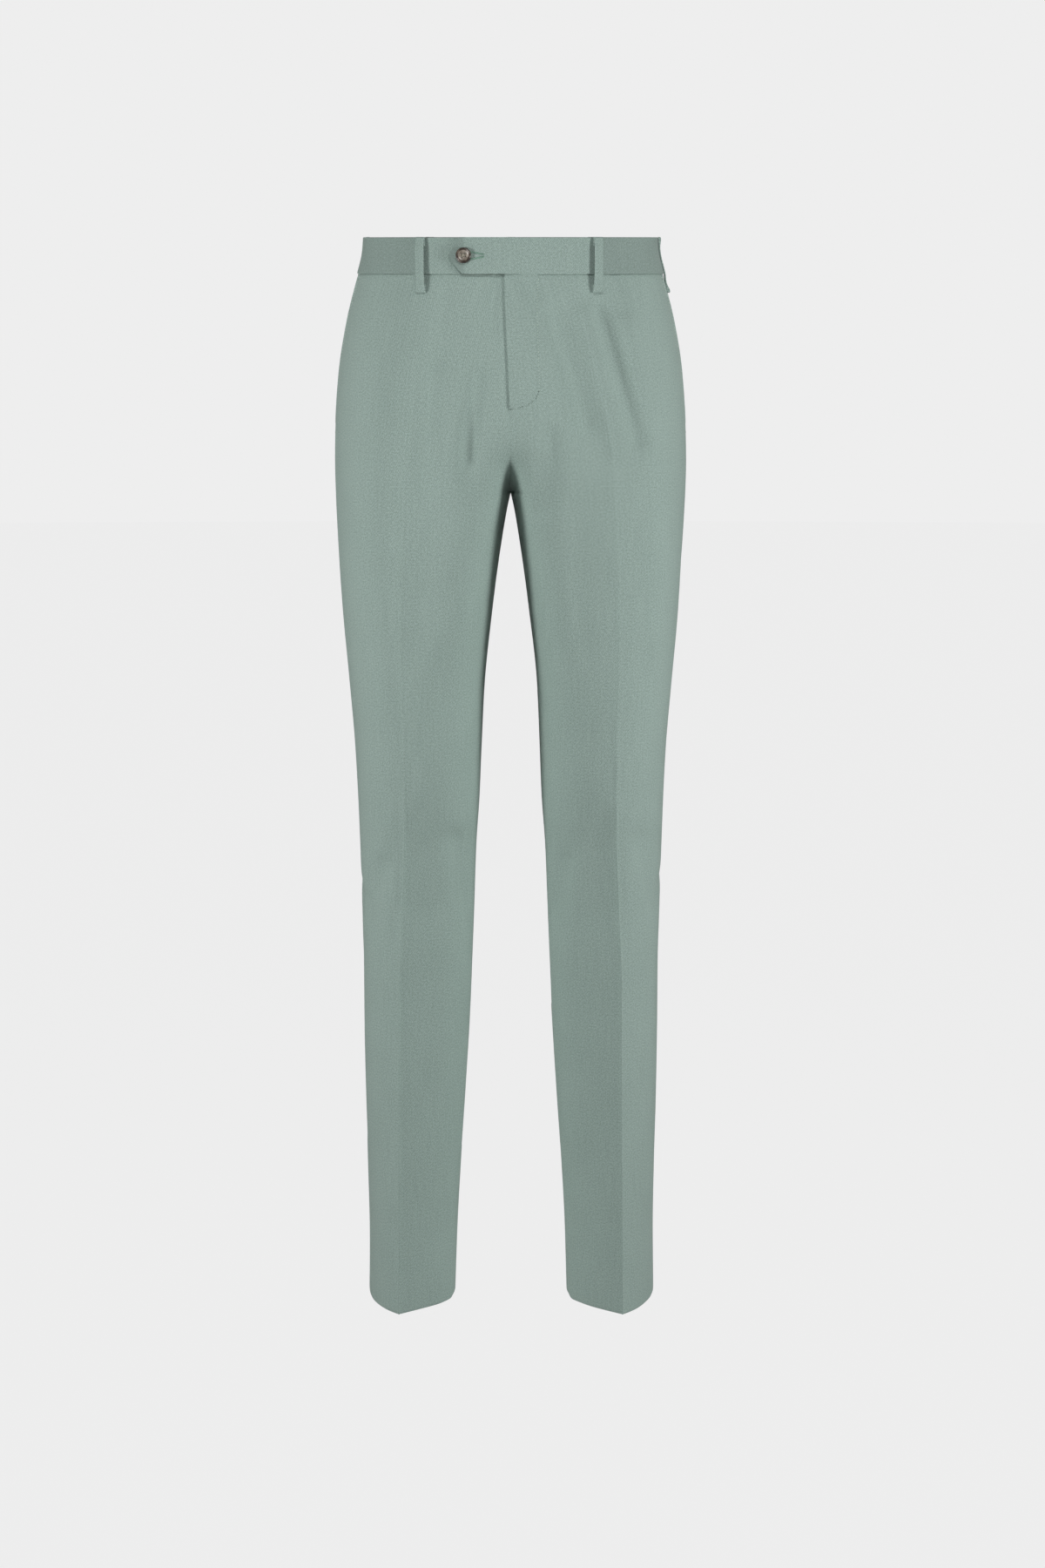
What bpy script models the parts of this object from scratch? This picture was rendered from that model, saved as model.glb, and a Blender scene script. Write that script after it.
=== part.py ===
# Tailored trousers, flat fronted, with pressed creases, filled out as they are when worn.
# Metres, +Z up. +X is the wearer's left, -Y the front. The origin is the centre of the waist opening.
# Each cloth piece is a thin closed wall that follows one shared surface, the garment's outside.

import math

import bmesh
import bpy
from mathutils import Vector

MM = 0.001

# ---- Driving dimensions ----
OUTSEAM = 1053.0 * MM            # waist's top edge to the hem, down the side
BAND_HEIGHT = 34.5 * MM          # height of the waistband
WAIST_TILT = 0.0745              # slope by which the waist line falls to the front and rises to the back
CLOTH = 1.2 * MM                 # wall of one layer of suiting with its seam allowances
BAND_CLOTH = 2.2 * MM            # wall of the waistband, two layers with interlining
SEAM_GAP = 0.3 * MM              # space between pieces at a seam
BAND_PROUD = 0.8 * MM            # how far the waistband stands out from the panels

CROTCH_START = -150.0 * MM       # level where the two legs begin to part
LEGS_PARTED = -240.0 * MM        # from here down each leg is a tube of its own, cut at the centre plane
SEAT_CLEFT = 5.0                 # degrees by which the back falls to the centre seam at the seat

# Sections of one half, wearer's left. out: outermost point, in: innermost point of the leg, which lies
# past the centre plane above the fork and is cut off there, front and back: crease lines.
# rake: slope of the cloth at the crease line, degrees. crease: how sharply it is pressed, degrees.
# full: how roundly the outer quarters swell, 0.55 for an ellipse; inner_full: the inner quarters.
# Lengths in millimetres.
SECTION_COLUMNS = (
    "z", "out_x", "out_y", "in_x", "in_y", "front_x", "front_y", "back_x", "back_y",
    "rake", "crease", "back_crease", "full", "inner_full",
)
SECTIONS = (
    (0, 141.2, 3, -90.0, 10, 56.0, -99.5, 52.0, 99.5, 13.0, 0, 0, 0.54, 0.45),        # waist top
    (-14, 142.4, 3, -86.0, 10, 58.5, -100.3, 55.5, 100.5, 13.0, 0, 0, 0.54, 0.45),    # middle of the band
    (-34.5, 147.3, 4, -80.0, 10, 62.0, -101.5, 60.0, 102.0, 13.0, 0, 0, 0.54, 0.45),  # waist seam
    (-80, 157.9, 5, -66.0, 10, 75.0, -106.0, 74.0, 109.0, 9.0, 1, 0, 0.54, 0.45),     # upper hip
    (-130, 165.9, 6, -62.0, 10, 85.0, -110.5, 83.0, 117.0, 5.0, 2, 0, 0.54, 0.60),    # hip
    (-185, 170.2, 7, -32.0, 10, 92.5, -113.0, 87.0, 122.5, 2.0, 3, 1, 0.54, 0.80),    # seat
    (-215, 170.8, 7, -13.0, 10, 96.0, -113.5, 88.0, 122.0, 1.0, 4, 2, 0.54, 0.83),     # rise
    (-245, 170.1, 6, 0.0, 10, 99.0, -113.2, 86.0, 118.0, 1.0, 6, 4, 0.54, 0.81),      # fork
    (-300, 167.5, 3, 10.2, 8, 101.5, -111.0, 82.0, 107.5, 1.0, 10, 7, 0.54, 0.74),  # upper thigh
    (-360, 163.6, 0, 18.4, 2, 103.0, -107.5, 80.0, 98.0, 1.0, 14, 10, 0.53, 0.68),  # thigh
    (-430, 157.4, -3, 26.0, -6, 103.0, -103.5, 79.0, 88.5, 1.0, 18, 13, 0.51, 0.60),  # lower thigh
    (-490, 152.6, -5, 28.9, -12, 101.5, -100.0, 79.0, 80.5, 2.0, 20, 15, 0.50, 0.56),  # above knee
    (-540, 150.3, -6, 30.7, -16, 101.5, -96.5, 80.0, 74.5, 2.0, 22, 17, 0.49, 0.53),   # knee
    (-590, 148.9, -5, 34.0, -17, 102.5, -91.5, 80.5, 73.5, 2.0, 24, 19, 0.48, 0.51),   # below knee
    (-650, 148.0, -1, 36.2, -15, 105.0, -86.0, 81.0, 77.0, 3.0, 27, 22, 0.46, 0.48),   # calf
    (-710, 147.0, 3, 38.7, -12, 107.5, -81.5, 81.5, 78.5, 3.0, 30, 25, 0.45, 0.46),    # lower calf
    (-770, 146.9, 6, 41.3, -9, 108.0, -79.5, 82.0, 79.5, 4.0, 32, 27, 0.44, 0.45),     # shin
    (-840, 146.2, 9, 45.6, -7, 108.5, -78.0, 83.5, 81.0, 4.0, 34, 29, 0.43, 0.44),     # lower shin
    (-910, 144.8, 12, 50.3, -4, 109.0, -75.0, 86.0, 83.0, 5.0, 36, 31, 0.42, 0.43),    # ankle
    (-980, 143.7, 15, 54.5, -1, 110.0, -70.5, 88.5, 85.0, 5.0, 38, 33, 0.41, 0.42),    # above the hem
    (-1053, 144.8, 17, 57.0, 1, 111.0, -66.0, 90.5, 86.0, 5.0, 40, 35, 0.40, 0.41),    # hem
)

# Depth of the centre seams where the two halves run into each other, millimetres.
CENTRE_COLUMNS = ("z", "front_y", "back_y")
CENTRES = (
    (0, -105.5, 105.0),
    (-34.5, -108.0, 108.5),
    (-80, -111.0, 113.0),
    (-130, -113.3, 116.8),
    (-170, -114.3, 117.5),
)

# Soft folds. face: the side of the leg that shows it. across: x on the front and back, y on the outer
# and inner side, at the upper and the lower end. width: half width. rise: above 0 a ridge, below 0 a
# trough. Millimetres, x counted outwards from the centre on both legs.
FOLD_COLUMNS = ("leg", "face", "across_1", "z_1", "across_2", "z_2", "width", "rise")
FOLDS = (
    ("right", "front", 73, -124, 80, -235, 9, -1.6),      # beside the crease, hip
    ("right", "front", 31, -134, 38, -212, 8, -2.0),      # between fly and crease
    ("right", "front", 124, -600, 141, -655, 9, -2.6),    # knee, outer
    ("right", "front", 52, -575, 40, -640, 10, -2.2),     # knee, inner
    ("left", "front", 40, -80, 70, -180, 10, -2.0),       # hip, drawn outwards and down
    ("left", "front", 68, -80, 98, -200, 9, 1.6),
    ("left", "front", 85, -76, 122, -190, 10, -2.2),
    ("left", "front", 108, -86, 131, -200, 9, 1.6),
    ("left", "front", 36, -190, 38, -255, 9, -1.2),
    ("left", "front", 50.6, -600, 39.4, -652, 9, -2.4),   # knee, inner
    ("left", "front", 127, -575, 144, -645, 10, -2.2),    # knee, outer
    ("right", "back", 36, -268, 92, -300, 11, -2.2),      # under the seat
    ("right", "back", 56, -314, 118, -338, 12, -1.8),
    ("left", "back", 32, -272, 86, -308, 11, -2.2),
    ("left", "back", 62, -320, 122, -336, 12, -1.8),
    ("right", "back", 52, -548, 104, -566, 10, -2.8),     # behind the knee
    ("right", "back", 64, -596, 128, -588, 10, -2.2),
    ("left", "back", 56, -556, 110, -572, 10, -2.8),
    ("left", "back", 60, -606, 122, -594, 10, -2.2),
    ("right", "outer", -40, -636, 20, -606, 9, -1.6),
    ("left", "outer", -36, -632, 24, -600, 9, -1.6),
)

# ---- Fly, tab and pockets ----
FLY_EDGE_TOP = -5.0 * MM         # the left front's edge at the waist seam, counted from the centre line
FLY_BOTTOM = -190.0 * MM         # level where the fly's overlap ends
FLY_UNDERLAP = 9.0 * MM          # how far the right front runs on under the left one
FLY_STITCH = 27.0 * MM           # the J-shaped stitch line, which ends the raised fly
FLY_STITCH_FADE = 12.0 * MM      # width over which the raised cloth falls back, half on each side of it
FLY_RAISE = 1.6 * MM             # how far the fly's overlap stands out
FLY_FADE = 23.0 * MM             # height over which it fades out at its lower end
ZIP_EDGES = (-8.0 * MM, 18.0 * MM)       # the zip strip's edges, counted from the centre line
SHIELD_EDGES = (-16.0 * MM, 26.0 * MM)   # the fly shield's edges
LAYER_GAP = 0.4 * MM             # space between layers that lie on each other

TAB_TIP = -56.5 * MM             # tip of the waistband's tab, counted from the centre line
TAB_SHOULDER = -45.0 * MM        # where the tab's slanted ends begin
TAB_BLUNT = 0.10                 # height of the tip, as a share of the band's height
TAB_BEND = 1.12                  # above 1, the slanted ends swell a little
TAB_RAISE = BAND_CLOTH + LAYER_GAP
TAB_RAMP = (16.0 * MM, -6.0 * MM)        # between these places the band rises to lie on the right one
BAND_PLAIN = 20.0 * MM           # from here round to the back the left band has no overlap
RIGHT_BAND_END = -9.0 * MM       # the right band ends here, under the tab
BUTTON_X = 43.1 * MM
BUTTON_RADIUS = 7.3 * MM
BUTTON_THICK = 2.8 * MM
BUTTON_EDGE = 1.2 * MM           # how far the back's edge is turned away
BUTTON_DISH = 0.55               # thickness of the dished middle, as a share
# The rim's profile: distance in from the radius, and height as a share of the thickness.
BUTTON_RIM = ((0.0, 0.45), (0.2 * MM, 0.85), (1.0 * MM, 1.0), (2.2 * MM, 0.62))
BUTTON_HOLE = 0.9 * MM           # radius of a thread hole
BUTTON_HOLE_SIDES = 10
BUTTON_SIDES = 24
BUTTON_HOLE_RING = 2.0 * MM      # distance of the thread holes from the button's centre

POCKET_TOP = 33.0 * MM           # the slanted edge starts this far in front of the side seam
POCKET_END = -188.0 * MM         # level where the slanted edge meets the side seam
SIDE_SEAM_BACK = 5.0 * MM        # the side seam runs this far behind the outermost point
POCKET_BAG_END = -292.0 * MM     # lowest level of the pocket's back layer
POCKET_BAG_WIDTH = 118.0 * MM    # its width at the waist seam
POCKET_BAG_TAPER = 0.72          # share of that width lost at the bottom
POCKET_BAG_ROUND = 5             # how suddenly it narrows towards the bottom
POCKET_SINK = CLOTH + 0.9 * MM   # the layer lies this far under the front
POCKET_LAP = 2.0 * MM            # the layer is already sunk this far inside the slanted edge
POCKET_SEAM = 1.5 * MM           # least width of the stretch beside the side seam
POCKET_FLUSH = 14.0 * MM         # shown width from which the facing comes up level with the back

# ---- Belt loops. side: 1 left, -1 right. face front or back: place is the distance from the centre
# line; face side: how far behind the outermost point. slack: room for a belt. Millimetres. ----
LOOP_WIDTH = 8.5 * MM
LOOP_CLOTH = 1.8 * MM
LOOP_BELOW = 17.5 * MM           # how far a loop reaches below the waist seam
LOOP_TOP = -1.0 * MM             # level of the upper end, just below the band's top edge
LOOP_HEAD = 8.0 * MM             # height over which the upper end leaves the band
LOOP_FOOT = 6.0 * MM             # height over which the lower end turns in to the cloth
LOOP_STEPS = 14
LOOP_COLUMNS = ("name", "side", "face", "place", "slack")
LOOPS = (
    ("belt_loop_front_left", 1, "front", 81.0, 2.4),
    ("belt_loop_front_right", -1, "front", 82.5, 2.4),
    ("belt_loop_side_left", 1, "side", 2.0, 1.6),
    ("belt_loop_side_right", -1, "side", 30.0, 2.0),
    ("belt_loop_back_left", 1, "back", 80.0, 2.4),
    ("belt_loop_back_right", -1, "back", 80.0, 2.4),
    ("belt_loop_centre_back", 1, "back", 0.0, 2.0),
)

# ---- Levels at which the panels are sampled, millimetres down the side seam ----
HIP_LEVELS = (-50.0, -70.0, -90.0, -110.0, -130.0, -150.0, -167.0)
RISE_LEVELS = (-182.0, -194.0, -206.0, -217.0, -227.0, -235.0, -241.0, -245.0)
LEG_LEVELS = (
    -250.0, -260.0, -280.0, -304.0, -332.0, -364.0, -400.0, -436.0, -470.0, -504.0, -536.0, -566.0, -594.0,
    -622.0, -650.0, -684.0, -722.0, -762.0, -804.0, -846.0, -890.0, -934.0, -976.0, -1016.0,
)
FRONT_INNER_STEPS = 9            # columns from the centre or inseam to the front crease
FRONT_OUTER_STEPS = 9            # columns from the front crease to the side seam
BACK_STEPS = 7                   # columns on each side of the back crease
POCKET_STEPS = 9                 # columns of the pocket layer under the front
POCKET_SHOWN_STEPS = 4           # columns of the facing that shows
BAND_ROWS = 3
BAND_INNER_STEPS = 5             # columns of the band between the centre and a crease line
BAND_OUTER_STEPS = 8             # columns between a crease line and the outermost point
TAB_STEPS = 4                    # columns of the tab's slanted end
TAB_FLAT_STEPS = 7               # columns from there to the plain stretch
STRIP_STEPS = 4                  # columns of the zip and of the fly shield
CENTRE_EASE = 1.25               # the inner columns lie closer together towards the centre and inseam

SAGE = (0.27, 0.33, 0.29, 1.0)
SAGE_SHADE = (0.22, 0.28, 0.245, 1.0)
HORN = (0.055, 0.035, 0.025, 1.0)
ZIP_GREEN = (0.16, 0.2, 0.17, 1.0)


def clear_scene():
    for obj in list(bpy.data.objects):
        bpy.data.objects.remove(obj)


def material(name, colour, roughness, metallic=0.0):
    made = bpy.data.materials.new(name)
    made.use_nodes = True
    shader = made.node_tree.nodes["Principled BSDF"]
    shader.inputs["Base Color"].default_value = colour
    shader.inputs["Roughness"].default_value = roughness
    shader.inputs["Metallic"].default_value = metallic
    return made


# ---- Reading the tables ----

def slopes_of(xs, ys):
    """Slopes of a curve through the points that never overshoots them."""
    steps = [(ys[i + 1] - ys[i]) / (xs[i + 1] - xs[i]) for i in range(len(xs) - 1)]
    slopes = [steps[0]]
    for before, after in zip(steps, steps[1:]):
        slopes.append(0.0 if before * after <= 0 else 2 * before * after / (before + after))
    slopes.append(steps[-1])
    return slopes


def table_curves(columns, rows):
    """For each named column: its levels, values and slopes, from the lowest level up."""
    ordered = sorted(rows)
    levels = [row[0] for row in ordered]
    curves = {}
    for place, column in enumerate(columns[1:], start=1):
        values = [row[place] for row in ordered]
        curves[column] = (levels, values, slopes_of(levels, values))
    return curves


SECTION_CURVES = table_curves(SECTION_COLUMNS, SECTIONS)
CENTRE_CURVES = table_curves(CENTRE_COLUMNS, CENTRES)


def read(curves, column, z):
    """The column's value at level z, in the table's own unit."""
    levels, values, slopes = curves[column]
    at = min(max(z / MM, levels[0]), levels[-1])
    i = 0
    while i < len(levels) - 2 and at > levels[i + 1]:
        i += 1
    span = levels[i + 1] - levels[i]
    t = (at - levels[i]) / span
    a = (1 + 2 * t) * (1 - t) ** 2
    b = t * (1 - t) ** 2
    c = t * t * (3 - 2 * t)
    d = t * t * (t - 1)
    return a * values[i] + b * span * slopes[i] + c * values[i + 1] + d * span * slopes[i + 1]


def section(z):
    """The section's named sizes at side level z, lengths in metres and angles in degrees."""
    found = {}
    for column in SECTION_COLUMNS[1:]:
        value = read(SECTION_CURVES, column, z)
        found[column] = value * MM if column.endswith(("_x", "_y")) else value
    return found


# ---- The shared surface. u: 0 centre front or inseam, 1 front crease, 2 outermost, 3 back crease, 4 ----

def smooth_step(t):
    t = min(max(t, 0.0), 1.0)
    return t * t * (3 - 2 * t)


def direction(degrees, x_sign, y_sign):
    turn = math.radians(degrees)
    return Vector((x_sign * math.cos(turn), y_sign * math.sin(turn)))


def quarter(start, start_way, end, end_way, full, t):
    """Point at t on the curve between two stations, leaving each one along its own way."""
    run = end - start
    near = start + start_way * full * abs(run.dot(start_way))
    far = end + end_way * full * abs(run.dot(end_way))
    k = 1 - t
    return start * k ** 3 + near * 3 * k * k * t + far * 3 * k * t * t + end * t ** 3


def inner_quarter(z, sizes, station, station_way, centre_y, centre_way, facing, t):
    """Point at t from the centre or inseam to a crease line. facing is -1 for the front, 1 for the back."""
    full = sizes["inner_full"]
    inner = Vector((sizes["in_x"], sizes["in_y"]))
    ahead = Vector((0, facing))
    edge = SEAM_GAP / 2
    low, high = 0.0, 1.0
    if inner.x < edge:
        for _ in range(24):
            middle = (low + high) / 2
            if quarter(inner, ahead, station, station_way, full, middle).x < edge:
                low = middle
            else:
                high = middle
    tube = quarter(inner, ahead, station, station_way, full, low + (1 - low) * t)
    parted = smooth_step((CROTCH_START - z) / (CROTCH_START - LEGS_PARTED))
    if parted == 1:
        return tube
    joined = quarter(Vector((0, centre_y)), centre_way, station, station_way, full, t)
    return joined.lerp(tube, parted)


def half_point(z, u):
    """Point of the left half of the plain surface, before folds."""
    sizes = section(z)
    front = Vector((sizes["front_x"], sizes["front_y"]))
    outer = Vector((sizes["out_x"], sizes["out_y"]))
    back = Vector((sizes["back_x"], sizes["back_y"]))
    rake = sizes["rake"]
    crease = sizes["crease"]
    back_crease = sizes["back_crease"]
    waist = smooth_step((z - CROTCH_START) / -CROTCH_START)
    if u < 1:
        way = direction(crease - rake, -1, 1)
        centre_y = read(CENTRE_CURVES, "front_y", z) * MM
        flat = inner_quarter(z, sizes, front, way, centre_y, Vector((1, 0)), -1, u)
    elif u < 2:
        way = direction(crease + rake, 1, 1)
        flat = quarter(front, way, outer, Vector((0, -1)), sizes["full"], u - 1)
    elif u < 3:
        way = direction(back_crease + rake, 1, -1)
        flat = quarter(outer, Vector((0, 1)), back, way, sizes["full"], u - 2)
    else:
        way = direction(back_crease - rake, -1, -1)
        centre_y = read(CENTRE_CURVES, "back_y", z) * MM
        centre_way = direction(SEAT_CLEFT * (1 - waist), 1, 1)
        flat = inner_quarter(z, sizes, back, way, centre_y, centre_way, 1, 4 - u)
    return Vector((flat.x, flat.y, z + WAIST_TILT * waist * flat.y))


def plain_point(side, z, u):
    """Point of the plain surface. side 1 is the wearer's left. u below 0 or over 4 is on the other half."""
    if u < 0:
        side, u = -side, -u
    elif u > 4:
        side, u = -side, 8 - u
    point = half_point(z, u)
    point.x *= side
    return point


def outward(side, z, u):
    """Unit normal of the plain surface, pointing out of the garment."""
    du = 0.02
    dz = 1.5 * MM
    if u < 0:
        side, u = -side, -u
    elif u > 4:
        side, u = -side, 8 - u
    parting = z < CROTCH_START
    low_u = max(u - du, 0.0) if parting else u - du
    high_u = min(u + du, 4.0) if parting else u + du
    across = plain_point(side, z, high_u) - plain_point(side, z, low_u)
    down = plain_point(side, z - dz, u) - plain_point(side, z + dz, u)
    return (down.cross(across) * side).normalized()


def fold_rise(side, point, normal):
    """How far the folds lift or sink the surface at a point."""
    leg = "left" if side > 0 else "right"
    rise = 0.0
    for row in FOLDS:
        fold = dict(zip(FOLD_COLUMNS, row))
        if fold["leg"] != leg:
            continue
        facing = {
            "front": -normal.y, "back": normal.y, "outer": normal.x * side, "inner": -normal.x * side,
        }[fold["face"]]
        if facing <= 0:
            continue
        across = abs(point.x) if fold["face"] in ("front", "back") else point.y
        place = Vector((across, point.z))
        start = Vector((fold["across_1"], fold["z_1"])) * MM
        run = Vector((fold["across_2"], fold["z_2"])) * MM - start
        along = min(max((place - start).dot(run) / run.length_squared, 0.0), 1.0)
        away = (place - start - run * along).length / (fold["width"] * MM)
        rise += fold["rise"] * MM * math.exp(-away * away) * smooth_step(facing * 2)
    return rise


def skin(side, z, u, offset=0.0):
    """Point of the garment's outside with its folds, moved out by offset, and its normal."""
    if u < 0:
        side, u = -side, -u
    elif u > 4:
        side, u = -side, 8 - u
    point = plain_point(side, z, u)
    normal = outward(side, z, u)
    return point + normal * (fold_rise(side, point, normal) + offset), normal


def step_along(side, z, u, distance):
    """The place reached from u by going that far along the section, forwards or back."""
    steps = 12
    for _ in range(steps):
        here = plain_point(side, z, u)
        ahead = plain_point(side, z, u + 0.01)
        u += distance / steps / ((ahead - here).length / 0.01)
    return u


# ---- Making solids ----

def link(name, bm, finish):
    bmesh.ops.recalc_face_normals(bm, faces=bm.faces)
    mesh = bpy.data.meshes.new(name)
    bm.to_mesh(mesh)
    bm.free()
    mesh.materials.append(finish)
    obj = bpy.data.objects.new(name, mesh)
    bpy.context.scene.collection.objects.link(obj)
    return obj


def wall(name, outer, inner, finish):
    """Closed wall between two grids of points: a grid of faces is extruded, and its copy moved to inner."""
    bm = bmesh.new()
    grid = [[bm.verts.new(point) for point in row] for row in outer]
    for upper, lower in zip(grid, grid[1:]):
        for a, b, c, d in zip(upper, upper[1:], lower[1:], lower):
            bm.faces.new((a, b, c, d))
    corner = {vert: inner[i][j] for i, row in enumerate(grid) for j, vert in enumerate(row)}
    places = {tuple(vert.co): point for vert, point in corner.items()}
    grown = bmesh.ops.extrude_face_region(bm, geom=bm.faces[:])
    for item in grown["geom"]:
        if isinstance(item, bmesh.types.BMVert):
            item.co = places[tuple(item.co)]
    made = link(name, bm, finish)
    made.data.shade_smooth()
    made.data.set_sharp_from_angle(angle=math.radians(50))
    return made


def cloth_panel(name, side, levels, columns, offset, thick, finish):
    """Wall of cloth on the shared surface. columns(z) gives u at each column; offset(z, u) lifts it."""
    outer = []
    inner = []
    for z in levels:
        outer_row = []
        inner_row = []
        for u in columns(z):
            point, normal = skin(side, z, u, offset(z, u))
            outer_row.append(point)
            inner_row.append(point - normal * thick)
        outer.append(outer_row)
        inner.append(inner_row)
    return wall(name, outer, inner, finish)


def spread(start, end, steps, ease=1.0):
    """Evenly spaced values from start to end, or closer together near start with an ease above 1."""
    return [start + (end - start) * (i / steps) ** ease for i in range(steps + 1)]


def panel_levels():
    top = -BAND_HEIGHT - SEAM_GAP / 2
    between = [z * MM for z in HIP_LEVELS + RISE_LEVELS + LEG_LEVELS]
    return [top] + between + [-OUTSEAM]


def fly_edge(z):
    """Distance of the left front's edge from the centre line, below 0 on the wearer's right."""
    share = smooth_step((z - FLY_BOTTOM) / (-BAND_HEIGHT - FLY_BOTTOM))
    return FLY_EDGE_TOP * share


def fly_lap(z):
    """1 where the fly stands out, fading to 0 at its lower end."""
    return smooth_step((z - FLY_BOTTOM) / FLY_FADE)


def right_edge(z):
    """Distance of the right front's edge from the centre line, below 0 where it runs under the left one."""
    beside = SEAM_GAP / 2 - fly_edge(z)
    under = -(FLY_UNDERLAP + fly_edge(z))
    share = smooth_step((z - FLY_BOTTOM - FLY_FADE) / FLY_FADE)
    return beside + (under - beside) * share


def side_seam(side, z):
    return step_along(side, z, 2.0, SIDE_SEAM_BACK)


def pocket_edge(side, z):
    """Place of the pocket's slanted edge at level z, or of the side seam below it."""
    share = (z - POCKET_END) / (-BAND_HEIGHT - POCKET_END)
    share = min(max(share, 0.0), 1.0)
    return step_along(side, z, 2.0, SIDE_SEAM_BACK - POCKET_TOP * share)


def front_left_columns(z):
    start = step_along(1, z, 0.0, fly_edge(z) + SEAM_GAP / 2)
    end = step_along(1, z, pocket_edge(1, z), -SEAM_GAP / 2)
    return spread(start, 1.0, FRONT_INNER_STEPS, CENTRE_EASE) + spread(1.0, end, FRONT_OUTER_STEPS)[1:]


def front_left_offset(z, u):
    """The fly's overlap stands out between its edge and the J-shaped stitch."""
    if z < FLY_BOTTOM or u > 1:
        return 0.0
    reach = plain_point(1, z, max(u, 0.0)).x
    return FLY_RAISE * fly_lap(z) * smooth_step((FLY_STITCH - reach) / FLY_STITCH_FADE + 0.5)


def front_right_columns(z):
    start = step_along(-1, z, 0.0, right_edge(z))
    end = step_along(-1, z, pocket_edge(-1, z), -SEAM_GAP / 2)
    return spread(start, 1.0, FRONT_INNER_STEPS, CENTRE_EASE) + spread(1.0, end, FRONT_OUTER_STEPS)[1:]


def back_columns(side, z):
    start = step_along(side, z, side_seam(side, z), SEAM_GAP / 2)
    end = step_along(side, z, 4.0, -SEAM_GAP / 2)
    inner = spread(end, 3.0, BACK_STEPS, CENTRE_EASE)[::-1]
    return spread(start, 3.0, BACK_STEPS) + inner[1:]


def level(_z, _u):
    return 0.0


def fronts_and_backs():
    cloth = material("suiting", SAGE, 0.9)
    levels = panel_levels()
    cloth_panel("front_left", 1, levels, front_left_columns, front_left_offset, CLOTH, cloth)
    cloth_panel("front_right", -1, levels, front_right_columns, level, CLOTH, cloth)
    cloth_panel("back_left", 1, levels, lambda z: back_columns(1, z), level, CLOTH, cloth)
    cloth_panel("back_right", -1, levels, lambda z: back_columns(-1, z), level, CLOTH, cloth)


def pocket(name, side, finish):
    """Facing and back layer of a side pocket: at the side seam it is level with the panels, and it
    sinks under the front in front of the slanted edge."""
    top = -BAND_HEIGHT - SEAM_GAP / 2
    levels = [top] + [z * MM for z in HIP_LEVELS + RISE_LEVELS + LEG_LEVELS if z * MM > POCKET_BAG_END]
    levels.append(POCKET_BAG_END)

    def bag_columns(z):
        end = step_along(side, z, side_seam(side, z), -SEAM_GAP / 2)
        depth = (top - z) / (top - POCKET_BAG_END)
        width = POCKET_BAG_WIDTH * (1 - POCKET_BAG_TAPER * depth ** POCKET_BAG_ROUND)
        start = step_along(side, z, end, -width)
        edge = max(step_along(side, z, pocket_edge(side, z), -POCKET_LAP), start)
        split = min(edge, step_along(side, z, end, -POCKET_SEAM))
        return spread(start, split, POCKET_STEPS) + spread(split, end, POCKET_SHOWN_STEPS)[1:]

    def sunk(z, u):
        if z <= POCKET_END:
            return -POCKET_SINK
        edge = pocket_edge(side, z)
        seam = side_seam(side, z)
        share = (u - edge) / (seam - edge)
        width = (plain_point(side, z, seam) - plain_point(side, z, edge)).length
        return -POCKET_SINK * (1 - smooth_step(share) * smooth_step(width / POCKET_FLUSH))

    cloth_panel(name, side, levels, bag_columns, sunk, CLOTH, finish)


def pockets():
    facing = material("pocket facing", SAGE_SHADE, 0.9)
    pocket("pocket_left", 1, facing)
    pocket("pocket_right", -1, facing)


def band_levels():
    return spread(0.0, -BAND_HEIGHT + SEAM_GAP / 2, BAND_ROWS)


def band_columns(side, start, z):
    """Places round the band from start to the centre back."""
    end = step_along(side, z, 4.0, -SEAM_GAP / 2)
    front = spread(start, 1.0, BAND_INNER_STEPS) + spread(1.0, 2.0, BAND_OUTER_STEPS)[1:]
    back = spread(2.0, 3.0, BAND_OUTER_STEPS)[1:] + spread(3.0, end, BAND_INNER_STEPS)[1:]
    return front + back


def tab_half_height(x):
    """Half height of the tab at distance x from the centre line, as a share of the band's."""
    share = (TAB_SHOULDER - x) / (TAB_SHOULDER - TAB_TIP)
    share = min(max(share, 0.0), 1.0)
    return 1 - (1 - TAB_BLUNT) * share ** TAB_BEND


def waistband_left(finish):
    """Left band: round from the centre back, over the fly and on over the right band as the tab."""
    top = 0.0
    bottom = -BAND_HEIGHT + SEAM_GAP / 2
    middle = (top + bottom) / 2
    tab_places = spread(TAB_TIP, TAB_SHOULDER, TAB_STEPS)
    tab_places += spread(TAB_SHOULDER, BAND_PLAIN, TAB_FLAT_STEPS)[1:]
    outer = []
    inner = []
    for share in spread(1.0, -1.0, 4):
        outer_row = []
        inner_row = []
        for x in tab_places:
            z = middle + (top - middle) * share * tab_half_height(x)
            lift = BAND_PROUD + TAB_RAISE * smooth_step((TAB_RAMP[0] - x) / (TAB_RAMP[0] - TAB_RAMP[1]))
            point, normal = skin(1, z, step_along(1, z, 0.0, x), lift)
            outer_row.append(point)
            inner_row.append(point - normal * BAND_CLOTH)
        z = middle + (top - middle) * share
        start = step_along(1, z, 0.0, BAND_PLAIN)
        for u in band_columns(1, start, z)[1:]:
            point, normal = skin(1, z, u, BAND_PROUD)
            outer_row.append(point)
            inner_row.append(point - normal * BAND_CLOTH)
        outer.append(outer_row)
        inner.append(inner_row)
    wall("waistband_left", outer, inner, finish)


def waistband_right(finish):
    def columns(z):
        return band_columns(-1, step_along(-1, z, 0.0, -RIGHT_BAND_END), z)

    def proud(_z, _u):
        return BAND_PROUD

    cloth_panel("waistband_right", -1, band_levels(), columns, proud, BAND_CLOTH, finish)


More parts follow.
